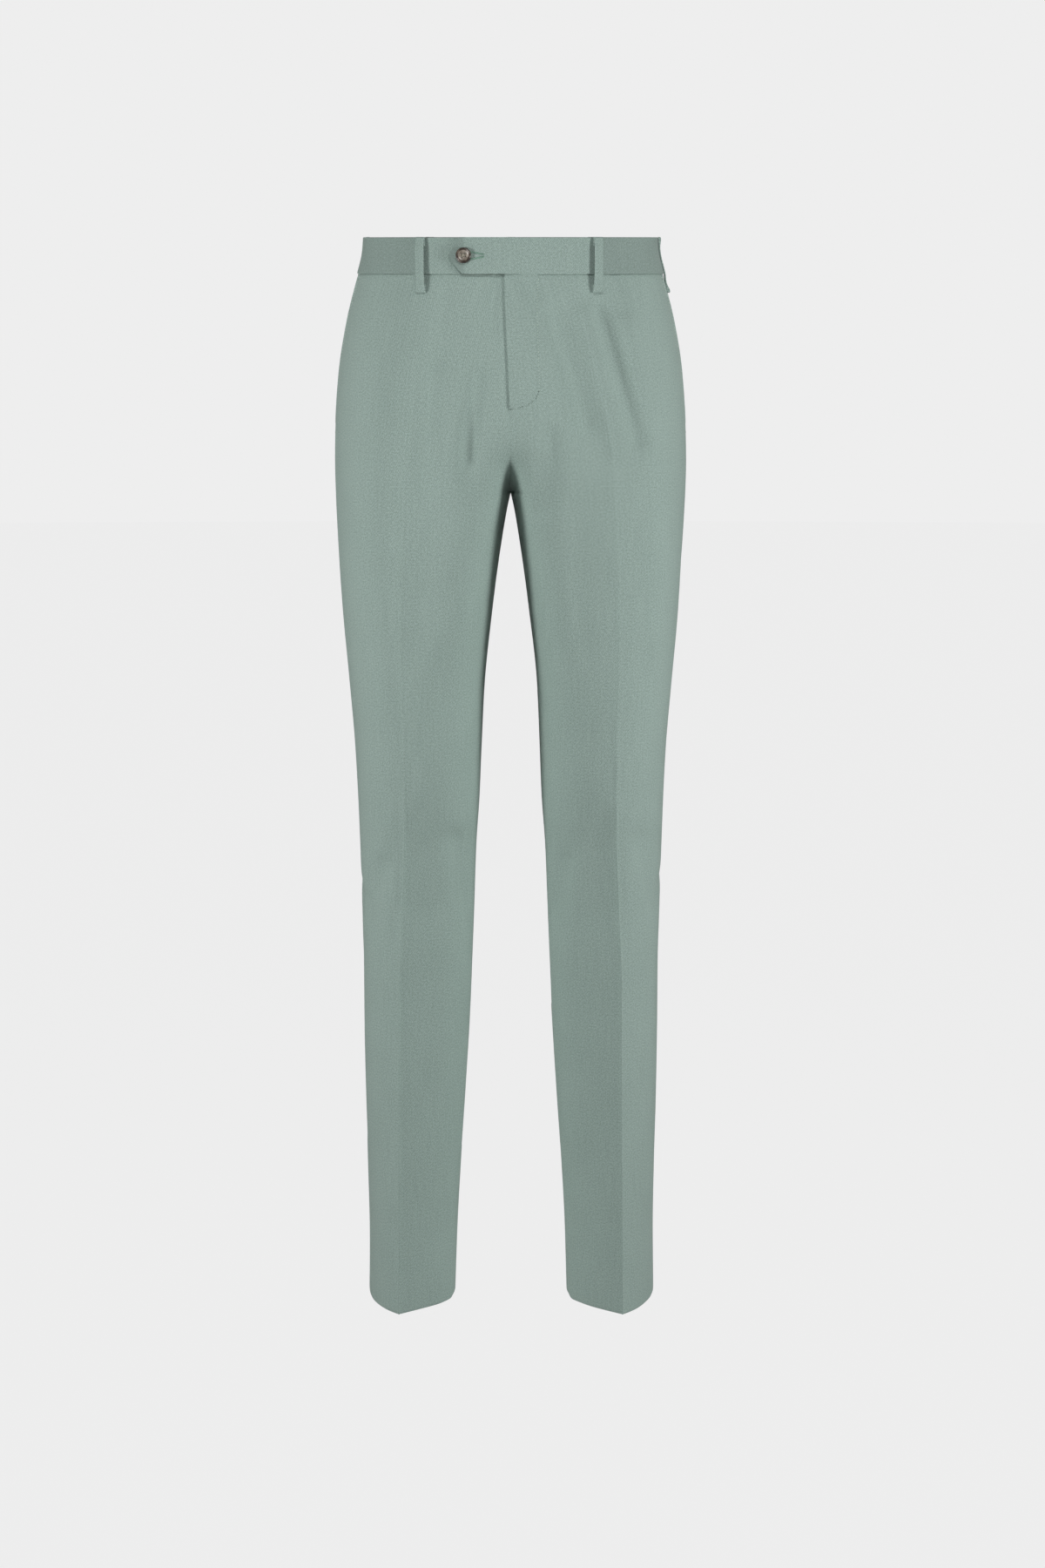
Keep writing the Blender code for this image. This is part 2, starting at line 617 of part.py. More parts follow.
def waistbands():
    cloth = material("waistband suiting", SAGE, 0.9)
    waistband_left(cloth)
    waistband_right(cloth)


def closure_strip(name, edges, depth, finish):
    """A strip behind the fly, between two distances from the centre line."""
    levels = [-BAND_HEIGHT - SEAM_GAP / 2] + [z * MM for z in HIP_LEVELS]

    def columns(z):
        return [step_along(1, z, 0.0, x) for x in spread(edges[0], edges[1], STRIP_STEPS)]

    cloth_panel(name, 1, levels, columns, lambda _z, _u: -depth, CLOTH, finish)


def fly_inside():
    tape = material("zip tape", ZIP_GREEN, 0.8)
    shield = material("fly shield suiting", SAGE_SHADE, 0.9)
    zip_depth = CLOTH + LAYER_GAP
    shield_depth = zip_depth + CLOTH + LAYER_GAP
    closure_strip("zip", ZIP_EDGES, zip_depth, tape)
    closure_strip("fly_shield", SHIELD_EDGES, shield_depth, shield)


def loop_place(side, z, face, place):
    """u of a belt loop's middle at level z."""
    if face == "side":
        return step_along(side, z, 2.0, place)
    low, high = (0.0, 2.0) if face == "front" else (4.0, 2.0)
    for _ in range(30):
        u = (low + high) / 2
        if abs(plain_point(side, z, u).x) < place:
            low = u
        else:
            high = u
    return (low + high) / 2


def belt_loop(row, finish):
    """Strip that leaves the band at its top edge, stands out over it and is sewn down below it."""
    loop = dict(zip(LOOP_COLUMNS, row))
    side = loop["side"]
    bottom = -BAND_HEIGHT - LOOP_BELOW
    slack = loop["slack"] * MM
    outer = []
    inner = []
    for z in spread(LOOP_TOP, bottom, LOOP_STEPS):
        free = smooth_step((LOOP_TOP - z) / LOOP_HEAD) * smooth_step((z - bottom) / LOOP_FOOT)
        on_band = smooth_step((z + BAND_HEIGHT) / LOOP_FOOT + 1)
        lift = SEAM_GAP + BAND_PROUD * on_band + slack * free
        middle = loop_place(side, z, loop["face"], loop["place"] * MM)
        centre, normal = skin(side, z, middle, lift)
        over = plain_point(side, z, middle + 0.01) - plain_point(side, z, middle - 0.01)
        across = over.normalized() * LOOP_WIDTH / 2
        outer.append([centre - across + normal * LOOP_CLOTH, centre + across + normal * LOOP_CLOTH])
        inner.append([centre - across, centre + across])
    wall(loop["name"], outer, inner, finish)


def belt_loops():
    cloth = material("belt loop suiting", SAGE, 0.9)
    for row in LOOPS:
        belt_loop(row, cloth)


def button_disc(finish):
    """Disc turned from the profile of its upper side, about the Z axis."""
    profile = [Vector((0, 0, 0)), Vector((BUTTON_RADIUS - BUTTON_EDGE, 0, 0))]
    profile += [Vector((BUTTON_RADIUS - back, 0, BUTTON_THICK * share)) for back, share in BUTTON_RIM]
    profile.append(Vector((0, 0, BUTTON_THICK * BUTTON_DISH)))
    bm = bmesh.new()
    verts = [bm.verts.new(point) for point in profile]
    edges = [bm.edges.new(pair) for pair in zip(verts, verts[1:])]
    bmesh.ops.spin(
        bm, geom=verts + edges, cent=(0, 0, 0), axis=(0, 0, 1), angle=2 * math.pi,
        steps=BUTTON_SIDES, use_merge=True,
    )
    bmesh.ops.remove_doubles(bm, verts=bm.verts, dist=0.01 * MM)
    made = link("button", bm, finish)
    made.data.shade_smooth()
    made.data.set_sharp_from_angle(angle=math.radians(40))
    return made


def button():
    """Four-hole disc lying on the tab."""
    horn = material("horn button", HORN, 0.35)
    middle = (-BAND_HEIGHT + SEAM_GAP / 2) / 2
    place = step_along(1, middle, 0.0, -BUTTON_X)
    centre, normal = skin(1, middle, place, BAND_PROUD + TAB_RAISE + SEAM_GAP)
    turn = Vector((0, 0, 1)).rotation_difference(normal)
    made = button_disc(horn)
    made.rotation_mode = "QUATERNION"
    made.rotation_quaternion = turn
    made.location = centre
    for corner in range(4):
        angle = math.pi / 4 + corner * math.pi / 2
        drill = bmesh.new()
        bmesh.ops.create_cone(
            drill, cap_ends=True, segments=BUTTON_HOLE_SIDES, radius1=BUTTON_HOLE, radius2=BUTTON_HOLE,
            depth=3 * BUTTON_THICK,
        )
        cutter = link("button_hole_cutter_%d" % corner, drill, horn)
        cutter.rotation_mode = "QUATERNION"
        cutter.rotation_quaternion = turn
        cutter.location = centre + turn @ (Vector((math.cos(angle), math.sin(angle), 0)) * BUTTON_HOLE_RING)
        cutter.hide_render = True
        cutter.display_type = "WIRE"
        cut = made.modifiers.new("thread hole", "BOOLEAN")
        cut.operation = "DIFFERENCE"
        cut.object = cutter


clear_scene()
fronts_and_backs()
pockets()
waistbands()
fly_inside()
belt_loops()
button()
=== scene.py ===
import math

import bmesh
import bpy
import numpy as np
from mathutils import Matrix, Vector


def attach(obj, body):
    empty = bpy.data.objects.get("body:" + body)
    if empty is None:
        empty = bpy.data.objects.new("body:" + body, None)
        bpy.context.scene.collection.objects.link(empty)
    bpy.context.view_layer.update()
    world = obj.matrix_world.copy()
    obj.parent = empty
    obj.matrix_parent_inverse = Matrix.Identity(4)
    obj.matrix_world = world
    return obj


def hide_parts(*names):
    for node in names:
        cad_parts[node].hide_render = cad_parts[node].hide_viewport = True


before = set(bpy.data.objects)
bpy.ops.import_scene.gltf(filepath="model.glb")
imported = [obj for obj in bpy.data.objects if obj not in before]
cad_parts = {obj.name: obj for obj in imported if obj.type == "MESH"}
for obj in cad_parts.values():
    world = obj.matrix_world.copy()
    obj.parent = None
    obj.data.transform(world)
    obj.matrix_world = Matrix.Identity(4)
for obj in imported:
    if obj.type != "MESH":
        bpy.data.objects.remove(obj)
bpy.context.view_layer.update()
mm = 0.001

# The garment's outside. Lengths in mm, angles in degrees. side: 1 wearer's left, -1 right.
# z: level at the side seam. u runs round one half: 0 centre front or inseam, 1 front crease, 2 outermost,
# 3 back crease, 4 centre back.
# Sewn edges meet, and above the fork they lap a hair past the centre plane, so that no light comes through.
body = {
    "outseam": 1053, "bandHeight": 34.5, "waistTilt": 0.0745, "cloth": 1.2, "facing": 0.9, "tape": 1.0,
    "bandCloth": 2.2, "bandProud": 0.8, "layerGap": 0.4, "seamLap": 0.1, "crotchStart": -150,
    "legsParted": -240, "seatCleft": 5,
}
# out and in: outermost and innermost point of the leg. rake: slope at the crease line.
# crease: how sharply it is pressed. full: how roundly the quarters swell.
sectionColumns = (
    "z", "outX", "outY", "inX", "inY", "frontX", "frontY", "backX", "backY",
    "rake", "crease", "backCrease", "full", "innerFull",
)
sectionRows = (
    (0, 141.2, 3, -90.0, 10, 56.0, -99.5, 52.0, 99.5, 13, 0, 0, 0.54, 0.45),
    (-14, 142.4, 3, -86.0, 10, 58.5, -100.3, 55.5, 100.5, 13, 0, 0, 0.54, 0.45),
    (-34.5, 147.3, 4, -80.0, 10, 62.0, -101.5, 60.0, 102.0, 13, 0, 0, 0.54, 0.45),
    (-80, 157.9, 5, -66.0, 10, 75.0, -106.0, 74.0, 109.0, 9, 1, 0, 0.54, 0.45),
    (-130, 165.9, 6, -62.0, 10, 85.0, -110.5, 83.0, 117.0, 5, 2, 0, 0.54, 0.60),
    (-185, 170.2, 7, -32.0, 10, 92.5, -113.0, 87.0, 122.5, 2, 3, 1, 0.54, 0.80),
    (-215, 170.8, 7, -13.0, 10, 96.0, -113.5, 88.0, 122.0, 1, 4, 2, 0.54, 0.83),
    (-245, 170.1, 6, 0.0, 10, 99.0, -113.2, 86.0, 118.0, 1, 6, 4, 0.54, 0.81),
    (-300, 167.5, 3, 10.2, 8, 101.5, -111.0, 82.0, 107.5, 1, 10, 7, 0.54, 0.74),
    (-360, 163.6, 0, 18.4, 2, 103.0, -107.5, 80.0, 98.0, 1, 14, 10, 0.53, 0.68),
    (-430, 157.4, -3, 26.0, -6, 103.0, -103.5, 79.0, 88.5, 1, 18, 13, 0.51, 0.60),
    (-490, 152.6, -5, 28.9, -12, 101.5, -100.0, 79.0, 80.5, 2, 20, 15, 0.50, 0.56),
    (-540, 150.3, -6, 30.7, -16, 101.5, -96.5, 80.0, 74.5, 2, 22, 17, 0.49, 0.53),
    (-590, 148.9, -5, 34.0, -17, 102.5, -91.5, 80.5, 73.5, 2, 24, 19, 0.48, 0.51),
    (-650, 148.0, -1, 36.2, -15, 105.0, -86.0, 81.0, 77.0, 3, 27, 22, 0.46, 0.48),
    (-710, 147.0, 3, 38.7, -12, 107.5, -81.5, 81.5, 78.5, 3, 30, 25, 0.45, 0.46),
    (-770, 146.9, 6, 41.3, -9, 108.0, -79.5, 82.0, 79.5, 4, 32, 27, 0.44, 0.45),
    (-840, 146.2, 9, 45.6, -7, 108.5, -78.0, 83.5, 81.0, 4, 34, 29, 0.43, 0.44),
    (-910, 144.8, 12, 50.3, -4, 109.0, -75.0, 86.0, 83.0, 5, 36, 31, 0.42, 0.43),
    (-980, 143.7, 15, 54.5, -1, 110.0, -70.5, 88.5, 85.0, 5, 38, 33, 0.41, 0.42),
    (-1053, 144.8, 17, 57.0, 1, 111.0, -66.0, 90.5, 86.0, 5, 40, 35, 0.40, 0.41),
)
centreColumns = ("z", "frontY", "backY")
centreRows = (
    (0, -105.5, 105.0), (-34.5, -108.0, 108.5), (-80, -111.0, 113.0),
    (-130, -113.3, 116.8), (-170, -114.3, 117.5),
)

# Soft folds: leg (0 is both), the face that shows it, across and z at its upper end, at its lower end,
# half width, rise (below 0 a trough). Across is x on the front and back, y on the outer and inner side.
folds = (
    (-1, "front", 73, -124, 80, -235, 9, -3.68),
    (-1, "front", 31, -134, 38, -212, 8, -4.6),
    (-1, "front", 124, -600, 141, -655, 9, -3.9),
    (-1, "front", 52, -575, 40, -640, 10, -3.3),
    (1, "front", 40, -80, 70, -180, 10, -4.6),
    (1, "front", 68, -80, 98, -200, 9, 3.68),
    (1, "front", 85, -76, 122, -190, 10, -5.06),
    (1, "front", 108, -86, 131, -200, 9, 3.68),
    (1, "front", 36, -190, 38, -255, 9, -2.76),
    (1, "front", 50.6, -600, 39.4, -652, 9, -3.6),
    (1, "front", 127, -575, 144, -645, 10, -3.3),
    (-1, "back", 36, -268, 92, -300, 11, -2.2),
    (-1, "back", 56, -314, 118, -338, 12, -1.8),
    (1, "back", 32, -272, 86, -308, 11, -2.2),
    (1, "back", 62, -320, 122, -336, 12, -1.8),
    (-1, "back", 52, -548, 104, -566, 10, -2.8),
    (-1, "back", 64, -596, 128, -588, 10, -2.2),
    (1, "back", 56, -556, 110, -572, 10, -2.8),
    (1, "back", 60, -606, 122, -594, 10, -2.2),
    (-1, "outer", -40, -636, 20, -606, 9, -1.6),
    (1, "outer", -36, -632, 24, -600, 9, -1.6),
    # finer drape that only the cloth itself shows
    (-1, "front", 60, -60, 66, -120, 7, -1.15),
    (-1, "front", 14, -44, 17, -92, 4, -2.07),
    (-1, "front", 40, -170, 42, -232, 8, -2.07),
    (1, "front", 14, -46, 22, -64, 8, -2.53),
    (1, "front", 26, -214, 27, -262, 7, -2.07),
    # the cloth swells over the knee and falls in below it
    (0, "front", 97, -452, 97, -492, 30, 3),
    (0, "front", 88, -590, 84, -640, 32, -4.2),
    (0, "front", 46, -585, 44, -668, 15, -2.4),
    (0, "front", 97, -536, 40, -470, 12, 1.2),
    (-1, "front", 52, -170, 55, -240, 9, 1.61),
    (-1, "front", 78, -260, 84, -380, 11, -2.07),
    (-1, "front", 116, -300, 120, -470, 12, 1.05),
    (-1, "front", 60, -330, 66, -470, 12, -0.9),
    (1, "front", 60, -250, 70, -400, 12, -1.84),
    (1, "front", 98, -210, 101, -330, 10, 1.84),
    (1, "front", 124, -240, 128, -420, 12, -1.61),
    (1, "front", 96, -44, 106, -84, 7, -2.07),
    (1, "front", 22, -52, 20, -74, 6, -1.84),
    (-1, "front", 78, -560, 88, -640, 12, -0.9),
    (1, "front", 84, -560, 92, -650, 12, -0.9),
    (-1, "front", 62, -700, 66, -800, 11, 0.75),
    (1, "front", 128, -720, 130, -830, 10, -0.75),
    (-1, "outer", 24, -250, 10, -420, 12, -0.9),
    (1, "outer", -20, -260, 6, -430, 12, -0.9),
    (-1, "outer", -6, -700, 4, -880, 11, -0.6),
    (1, "outer", 26, -690, 20, -880, 11, -0.6),
    (-1, "back", 44, -120, 60, -220, 13, -0.8),
    (1, "back", 48, -110, 60, -214, 13, -0.8),
    (-1, "back", 104, -150, 112, -262, 12, -0.9),
    (1, "back", 100, -140, 110, -256, 12, -0.9),
    (-1, "back", 70, -640, 84, -700, 12, -0.9),
    (1, "back", 74, -650, 66, -706, 12, -0.9),
)


def smoothStep(t):
    t = np.clip(t, 0.0, 1.0)
    return t * t * (3 - 2 * t)


# reads every column at the levels z, on a curve that never overshoots
def tableReader(columns, rows):
    table = np.array(sorted(rows), float)
    levels, values = table[:, 0], table[:, 1:]
    steps = np.diff(values, axis=0) / np.diff(levels)[:, None]
    both = steps[:-1] * steps[1:]
    total = steps[:-1] + steps[1:]
    middle = np.where(both > 0, 2 * both / np.where(total == 0, 1, total), 0)
    slopes = np.vstack([steps[:1], middle, steps[-1:]])

    def read(z):
        at = np.clip(z, levels[0], levels[-1])
        i = np.clip(np.searchsorted(levels, at, side="right") - 1, 0, len(levels) - 2)
        span = (levels[i + 1] - levels[i])[:, None]
        t = (at - levels[i])[:, None] / span
        found = (1 + 2 * t) * (1 - t) ** 2 * values[i] + t * (1 - t) ** 2 * span * slopes[i]
        found += t * t * (3 - 2 * t) * values[i + 1] + t * t * (t - 1) * span * slopes[i + 1]
        return {name: found[:, k] for k, name in enumerate(columns[1:])}

    return read


readSection = tableReader(sectionColumns, sectionRows)
readCentre = tableReader(centreColumns, centreRows)


def pair(x, y):
    x, y = np.broadcast_arrays(np.asarray(x, float), np.asarray(y, float))
    return np.stack([x, y], -1)


def way(degrees, xSign, ySign):
    turn = np.radians(degrees)
    return pair(xSign * np.cos(turn), ySign * np.sin(turn))


def quarter(start, startWay, end, endWay, full, t):
    run = end - start
    near = start + startWay * (full * np.abs((run * startWay).sum(-1)))[:, None]
    far = end + endWay * (full * np.abs((run * endWay).sum(-1)))[:, None]
    t = t[:, None]
    k = 1 - t
    return start * k ** 3 + near * 3 * k * k * t + far * 3 * k * t * t + end * t ** 3


def innerQuarter(z, s, station, stationWay, centreY, centreWay, facing, t):
    # above the fork the leg's tube is cut off at the centre plane and eased into the joined body
    full = s["innerFull"]
    inner = pair(s["inX"], s["inY"])
    ahead = pair(np.zeros(len(z)), np.full(len(z), facing))
    edge = -body["seamLap"]
    low, high = np.zeros(len(z)), np.ones(len(z))
    for _ in range(24):
        middle = (low + high) / 2
        short = quarter(inner, ahead, station, stationWay, full, middle)[:, 0] < edge
        low, high = np.where(short, middle, low), np.where(short, high, middle)
    low = np.where(inner[:, 0] < edge, low, 0)
    tube = quarter(inner, ahead, station, stationWay, full, low + (1 - low) * t)
    parted = smoothStep((body["crotchStart"] - z) / (body["crotchStart"] - body["legsParted"]))[:, None]
    joined = quarter(pair(np.zeros(len(z)), centreY), centreWay, station, stationWay, full, t)
    return joined + (tube - joined) * parted


# points of the wearer's left half of the plain surface
def halfPoint(z, u):
    z, u = (a.astype(float) for a in np.broadcast_arrays(z, u))
    waist = smoothStep((z - body["crotchStart"]) / -body["crotchStart"])
    flat = np.zeros((len(z), 2))
    for part in range(4):
        here = (u < 1, (u >= 1) & (u < 2), (u >= 2) & (u < 3), u >= 3)[part]
        if not here.any():
            continue
        zs, us = z[here], u[here]
        s, c = readSection(zs), readCentre(zs)
        front, outer, back = (pair(s[k + "X"], s[k + "Y"]) for k in ("front", "out", "back"))
        none = np.zeros(len(zs))
        if part == 0:
            leave = way(s["crease"] - s["rake"], -1, 1)
            flat[here] = innerQuarter(zs, s, front, leave, c["frontY"], pair(none + 1, none), -1, us)
        elif part == 1:
            leave = way(s["crease"] + s["rake"], 1, 1)
            flat[here] = quarter(front, leave, outer, pair(none, none - 1), s["full"], us - 1)
        elif part == 2:
            leave = way(s["backCrease"] + s["rake"], 1, -1)
            flat[here] = quarter(outer, pair(none, none + 1), back, leave, s["full"], us - 2)
        else:
            leave = way(s["backCrease"] - s["rake"], -1, -1)
            cleft = way(body["seatCleft"] * (1 - waist[here]), 1, 1)
            flat[here] = innerQuarter(zs, s, back, leave, c["backY"], cleft, 1, 4 - us)
    return np.column_stack([flat, z + body["waistTilt"] * waist * flat[:, 1]])


def overCentre(side, u):
    other = (u < 0) | (u > 4)
    return np.where(other, -side, side), np.where(u < 0, -u, np.where(u > 4, 8 - u, u))


def plainPoint(side, z, u):
    side, u = overCentre(side, u)
    point = halfPoint(z, u)
    point[:, 0] *= side
    return point


def outward(side, z, u):
    side, u = overCentre(side, u)
    parting = z < body["crotchStart"]
    lowU = np.where(parting, np.maximum(u - 0.02, 0), u - 0.02)
    highU = np.where(parting, np.minimum(u + 0.02, 4), u + 0.02)
    across = plainPoint(side, z, highU) - plainPoint(side, z, lowU)
    down = plainPoint(side, z - 1.5, u) - plainPoint(side, z + 1.5, u)
    normal = np.cross(down, across) * np.broadcast_to(side, z.shape)[:, None]
    return normal / np.linalg.norm(normal, axis=1)[:, None]


def foldRise(side, point, normal):
    side = np.broadcast_to(side, len(point))
    rise = np.zeros(len(point))
    for leg, face, across1, z1, across2, z2, width, height in folds:
        facing = {
            "front": -normal[:, 1], "back": normal[:, 1],
            "outer": normal[:, 0] * side, "inner": -normal[:, 0] * side,
        }[face]
        across = np.abs(point[:, 0]) if face in ("front", "back") else point[:, 1]
        place = np.column_stack([across, point[:, 2]])
        start = np.array([across1, z1], float)
        run = np.array([across2, z2], float) - start
        along = np.clip((place - start) @ run / (run @ run), 0, 1)
        away = np.linalg.norm(place - start - along[:, None] * run, axis=1) / width
        shown = (leg == 0) | (side == leg)
        rise += np.where(shown, height * np.exp(-away * away) * smoothStep(facing * 2), 0)
    return rise


drape = {
    "broad": 0.40, "fine": 0.26, "start": -60, "fade": 60,
    "joinedEnd": -275, "joinedFade": 15, "joinedWidth": 8,
}


# long, shallow unevenness of cloth that hangs, never the same on two legs
def drapeRise(side, point):
    x, y, z = point.T
    around = np.arctan2(y, np.abs(x) - 80 * smoothStep((-z - 150) / 100)) * 60
    shift = np.where(np.broadcast_to(side, len(point)) > 0, 0.0, 2.1)
    rise = drape["broad"] * np.sin(around / 13 + z / 170 + shift) * np.sin(z / 96 + 1.3 * shift)
    rise += drape["fine"] * np.sin(around / 7.3 - z / 120 + 2 * shift) * np.sin(z / 61 + 0.7 + shift)
    # flat along the centre seams, so that they stay closed down to the fork
    joined = smoothStep((z - drape["joinedEnd"]) / drape["joinedFade"])
    joined = joined * (1 - smoothStep(np.abs(x) / drape["joinedWidth"]))
    return rise * smoothStep((drape["start"] - z) / drape["fade"]) * (1 - joined)


# points of the outside with its folds, moved out by lift, and the normals, in mm
def skin(side, z, u, lift=0.0):
    z, u = (a.astype(float) for a in np.broadcast_arrays(z, u))
    side, u = overCentre(side, u)
    point = plainPoint(side, z, u)
    normal = outward(side, z, u)
    rise = foldRise(side, point, normal) + drapeRise(side, point) + lift
    return point + normal * np.reshape(rise, (-1, 1)), normal


# the place u reached by going that far along the section
def stepAlong(side, z, u, distance):
    z, u, distance = (a.astype(float) for a in np.broadcast_arrays(z, u, distance))
    for _ in range(12):
        here = plainPoint(side, z, u)
        ahead = plainPoint(side, z, u + 0.01)
        u = u + distance / 12 / (np.linalg.norm(ahead - here, axis=1) / 0.01)
    return u


fly = {
    "edgeTop": -5, "bottom": -190, "underlap": 9, "raise": 1.45, "fade": 23, "stitchFade": 7, "sink": 0.25,
    "groove": 0.45, "grooveWidth": 1.1, "grooveEnd": 0.9, "curveStart": -148, "curveFade": 8,
    "sinkWidth": 8, "sinkFade": 6,
    "stripLevels": (-34.8, -167), "zipEdges": (-8, 18), "shieldEdges": (-16, 26),
    # the J-shaped stitch line: distance from the centre line and level
    "stitchLine": (
        (27.4, -35), (26.2, -46), (25.2, -58), (25.6, -80), (26.6, -110), (27.6, -138), (27.3, -148),
        (24.6, -155), (18.5, -160), (9.0, -163.6), (-2.0, -166),
    ),
}
pocketMouth = {
    "top": 33, "end": -188, "seamBack": 5, "bagEnd": -292, "bagWidth": 118, "bagTaper": 0.72,
    "bagRound": 5, "lap": 2, "seam": 1.5, "flush": 14, "stitchIn": 3.4, "sink": 2.1,
    "endRise": 2, "endFade": 10,
}


# below the fork an edge must stop at its own leg's inseam
def centreLap(z):
    return np.where(z > body["legsParted"] + 15, body["seamLap"], 0.0)


def flyEdge(z):
    return fly["edgeTop"] * smoothStep((z - fly["bottom"]) / (-body["bandHeight"] - fly["bottom"]))


def rightEdge(z):
    beside = -centreLap(z) - flyEdge(z)
    under = -(fly["underlap"] + flyEdge(z))
    share = smoothStep((z - fly["bottom"] - fly["fade"]) / fly["fade"])
    return beside + (under - beside) * share


def sideSeam(side, z):
    return stepAlong(side, z, 2.0, pocketMouth["seamBack"])


def pocketEdge(side, z):
    share = np.clip((z - pocketMouth["end"]) / (-body["bandHeight"] - pocketMouth["end"]), 0, 1)
    return stepAlong(side, z, 2.0, pocketMouth["seamBack"] - pocketMouth["top"] * share)


print("surface ready")


def linear(hexColour):
    parts = [int(hexColour[i:i + 2], 16) / 255 for i in (1, 3, 5)]
    return [c / 12.92 if c <= 0.04045 else ((c + 0.055) / 1.055) ** 2.4 for c in parts] + [1.0]


def addNode(tree, kind, settings=None, links=None):
    node = tree.nodes.new(kind)
    for name, value in (settings or {}).items():
        if isinstance(name, int) or name in node.inputs:
            node.inputs[name].default_value = value
        else:
            setattr(node, name, value)
    for name, source in (links or {}).items():
        tree.links.new(source, node.inputs[name])
    return node


def startMaterial(name, shaderSettings):
    made = bpy.data.materials.new(name)
    made.use_nodes = True
    tree = made.node_tree
    shader = tree.nodes["Principled BSDF"]
    for socket, value in shaderSettings.items():
        shader.inputs[socket].default_value = value
    return made, tree, shader


def ramp(tree, source, stops):
    node = addNode(tree, "ShaderNodeValToRGB", links={"Fac": source})
    elements = node.color_ramp.elements
    for element, (place, colour) in zip(elements, (stops[0], stops[-1])):
        element.position = place
        element.color = colour
    for place, colour in stops[1:-1]:
        elements.new(place).color = colour
    return node


# Worsted wool twill: yarns of mixed light and dark green fibre, woven in steep ribs, steamed and pressed.
# It is matt, with a faint fibre sheen at the edges, and close up it is finely speckled with upright streaks.
# Ribs of 0.45 mm are too fine to show, so they are drawn 1.3 mm apart.
# paintedShadeFrom: how far along, in metres, painted shade starts to darken the colour.
def woolTwill(name, light, middle, dark, ribSpacing=1.3, paintedShadeFrom=None):
    made, tree, shader = startMaterial(name, {
        "Roughness": 0.88, "IOR": 1.46, "Specular IOR Level": 0.28,
        "Sheen Weight": 0.16, "Sheen Roughness": 0.55, "Sheen Tint": linear("#dfe9e2"),
    })
    cloth = addNode(tree, "ShaderNodeUVMap", {"uv_map": "cloth"}).outputs["UV"]
    slope = addNode(tree, "ShaderNodeMapping", {"Rotation": (0, 0, math.radians(-28))}, {"Vector": cloth})
    # a wave repeats each 2 pi / 20 of its scale
    rib = addNode(tree, "ShaderNodeTexWave", {
        "wave_type": "BANDS", "bands_direction": "X", "Scale": 2 * math.pi / 20 / (ribSpacing * mm),
        "Distortion": 1.6, "Detail": 2.0, "Detail Scale": 1.6, "Detail Roughness": 0.6,
    }, {"Vector": slope.outputs["Vector"]})
    speckle = addNode(tree, "ShaderNodeTexNoise", {
        "Scale": 1 / (1.5 * mm), "Detail": 3.0, "Roughness": 0.72,
    }, {"Vector": cloth})
    upright = addNode(tree, "ShaderNodeMapping", {"Scale": (1, 0.045, 1)}, {"Vector": cloth})
    streak = addNode(tree, "ShaderNodeTexNoise", {
        "Scale": 1 / (1.7 * mm), "Detail": 2.0, "Roughness": 0.6,
    }, {"Vector": upright.outputs["Vector"]})
    cloudy = addNode(tree, "ShaderNodeTexNoise", {"Scale": 1 / (55 * mm), "Detail": 2.0}, {"Vector": cloth})
    grain = addNode(tree, "ShaderNodeMath", {"operation": "MULTIPLY_ADD", 1: 0.14}, {
        0: streak.outputs["Fac"], 2: speckle.outputs["Fac"]})
    ribbed = addNode(tree, "ShaderNodeMath", {"operation": "MULTIPLY_ADD", 1: 0.20}, {
        0: rib.outputs["Fac"], 2: grain.outputs["Value"]})
    shaded = addNode(tree, "ShaderNodeMath", {"operation": "MULTIPLY_ADD", 1: 0.06}, {
        0: cloudy.outputs["Fac"], 2: ribbed.outputs["Value"]})
    tone = addNode(tree, "ShaderNodeMapRange", {"From Min": 0.35, "From Max": 1.05}, {
        "Value": shaded.outputs["Value"]})
    colour = ramp(tree, tone.outputs["Result"], [
        (0.12, linear(dark)), (0.5, linear(middle)), (0.9, linear(light))])
    shown = colour.outputs["Color"]
    # painted shade: beyond that distance the colour is multiplied down to 0.82
    if paintedShadeFrom:
        along = addNode(tree, "ShaderNodeSeparateXYZ", links={"Vector": cloth}).outputs["X"]
        away = addNode(tree, "ShaderNodeMath", {"operation": "ABSOLUTE"}, {0: along})
        share = addNode(tree, "ShaderNodeMapRange", {
            "From Min": paintedShadeFrom - 1 * mm, "From Max": paintedShadeFrom + 1 * mm, "To Min": 1.0, "To Max": 0.82,
        }, {"Value": away.outputs["Value"]})
        grey = addNode(tree, "ShaderNodeCombineColor", links={
            0: share.outputs["Result"], 1: share.outputs["Result"], 2: share.outputs["Result"]})
        cut = addNode(tree, "ShaderNodeMix", {"data_type": "RGBA", "blend_type": "MULTIPLY", 0: 1.0}, {
            6: shown, 7: grey.outputs["Color"]})
        shown = cut.outputs[2]
    tree.links.new(shown, shader.inputs["Base Color"])
    bump = addNode(tree, "ShaderNodeBump", {"Strength": 0.55, "Distance": 0.22 * mm}, {
        "Height": ribbed.outputs["Value"]})
    tree.links.new(bump.outputs["Normal"], shader.inputs["Normal"])
    return made
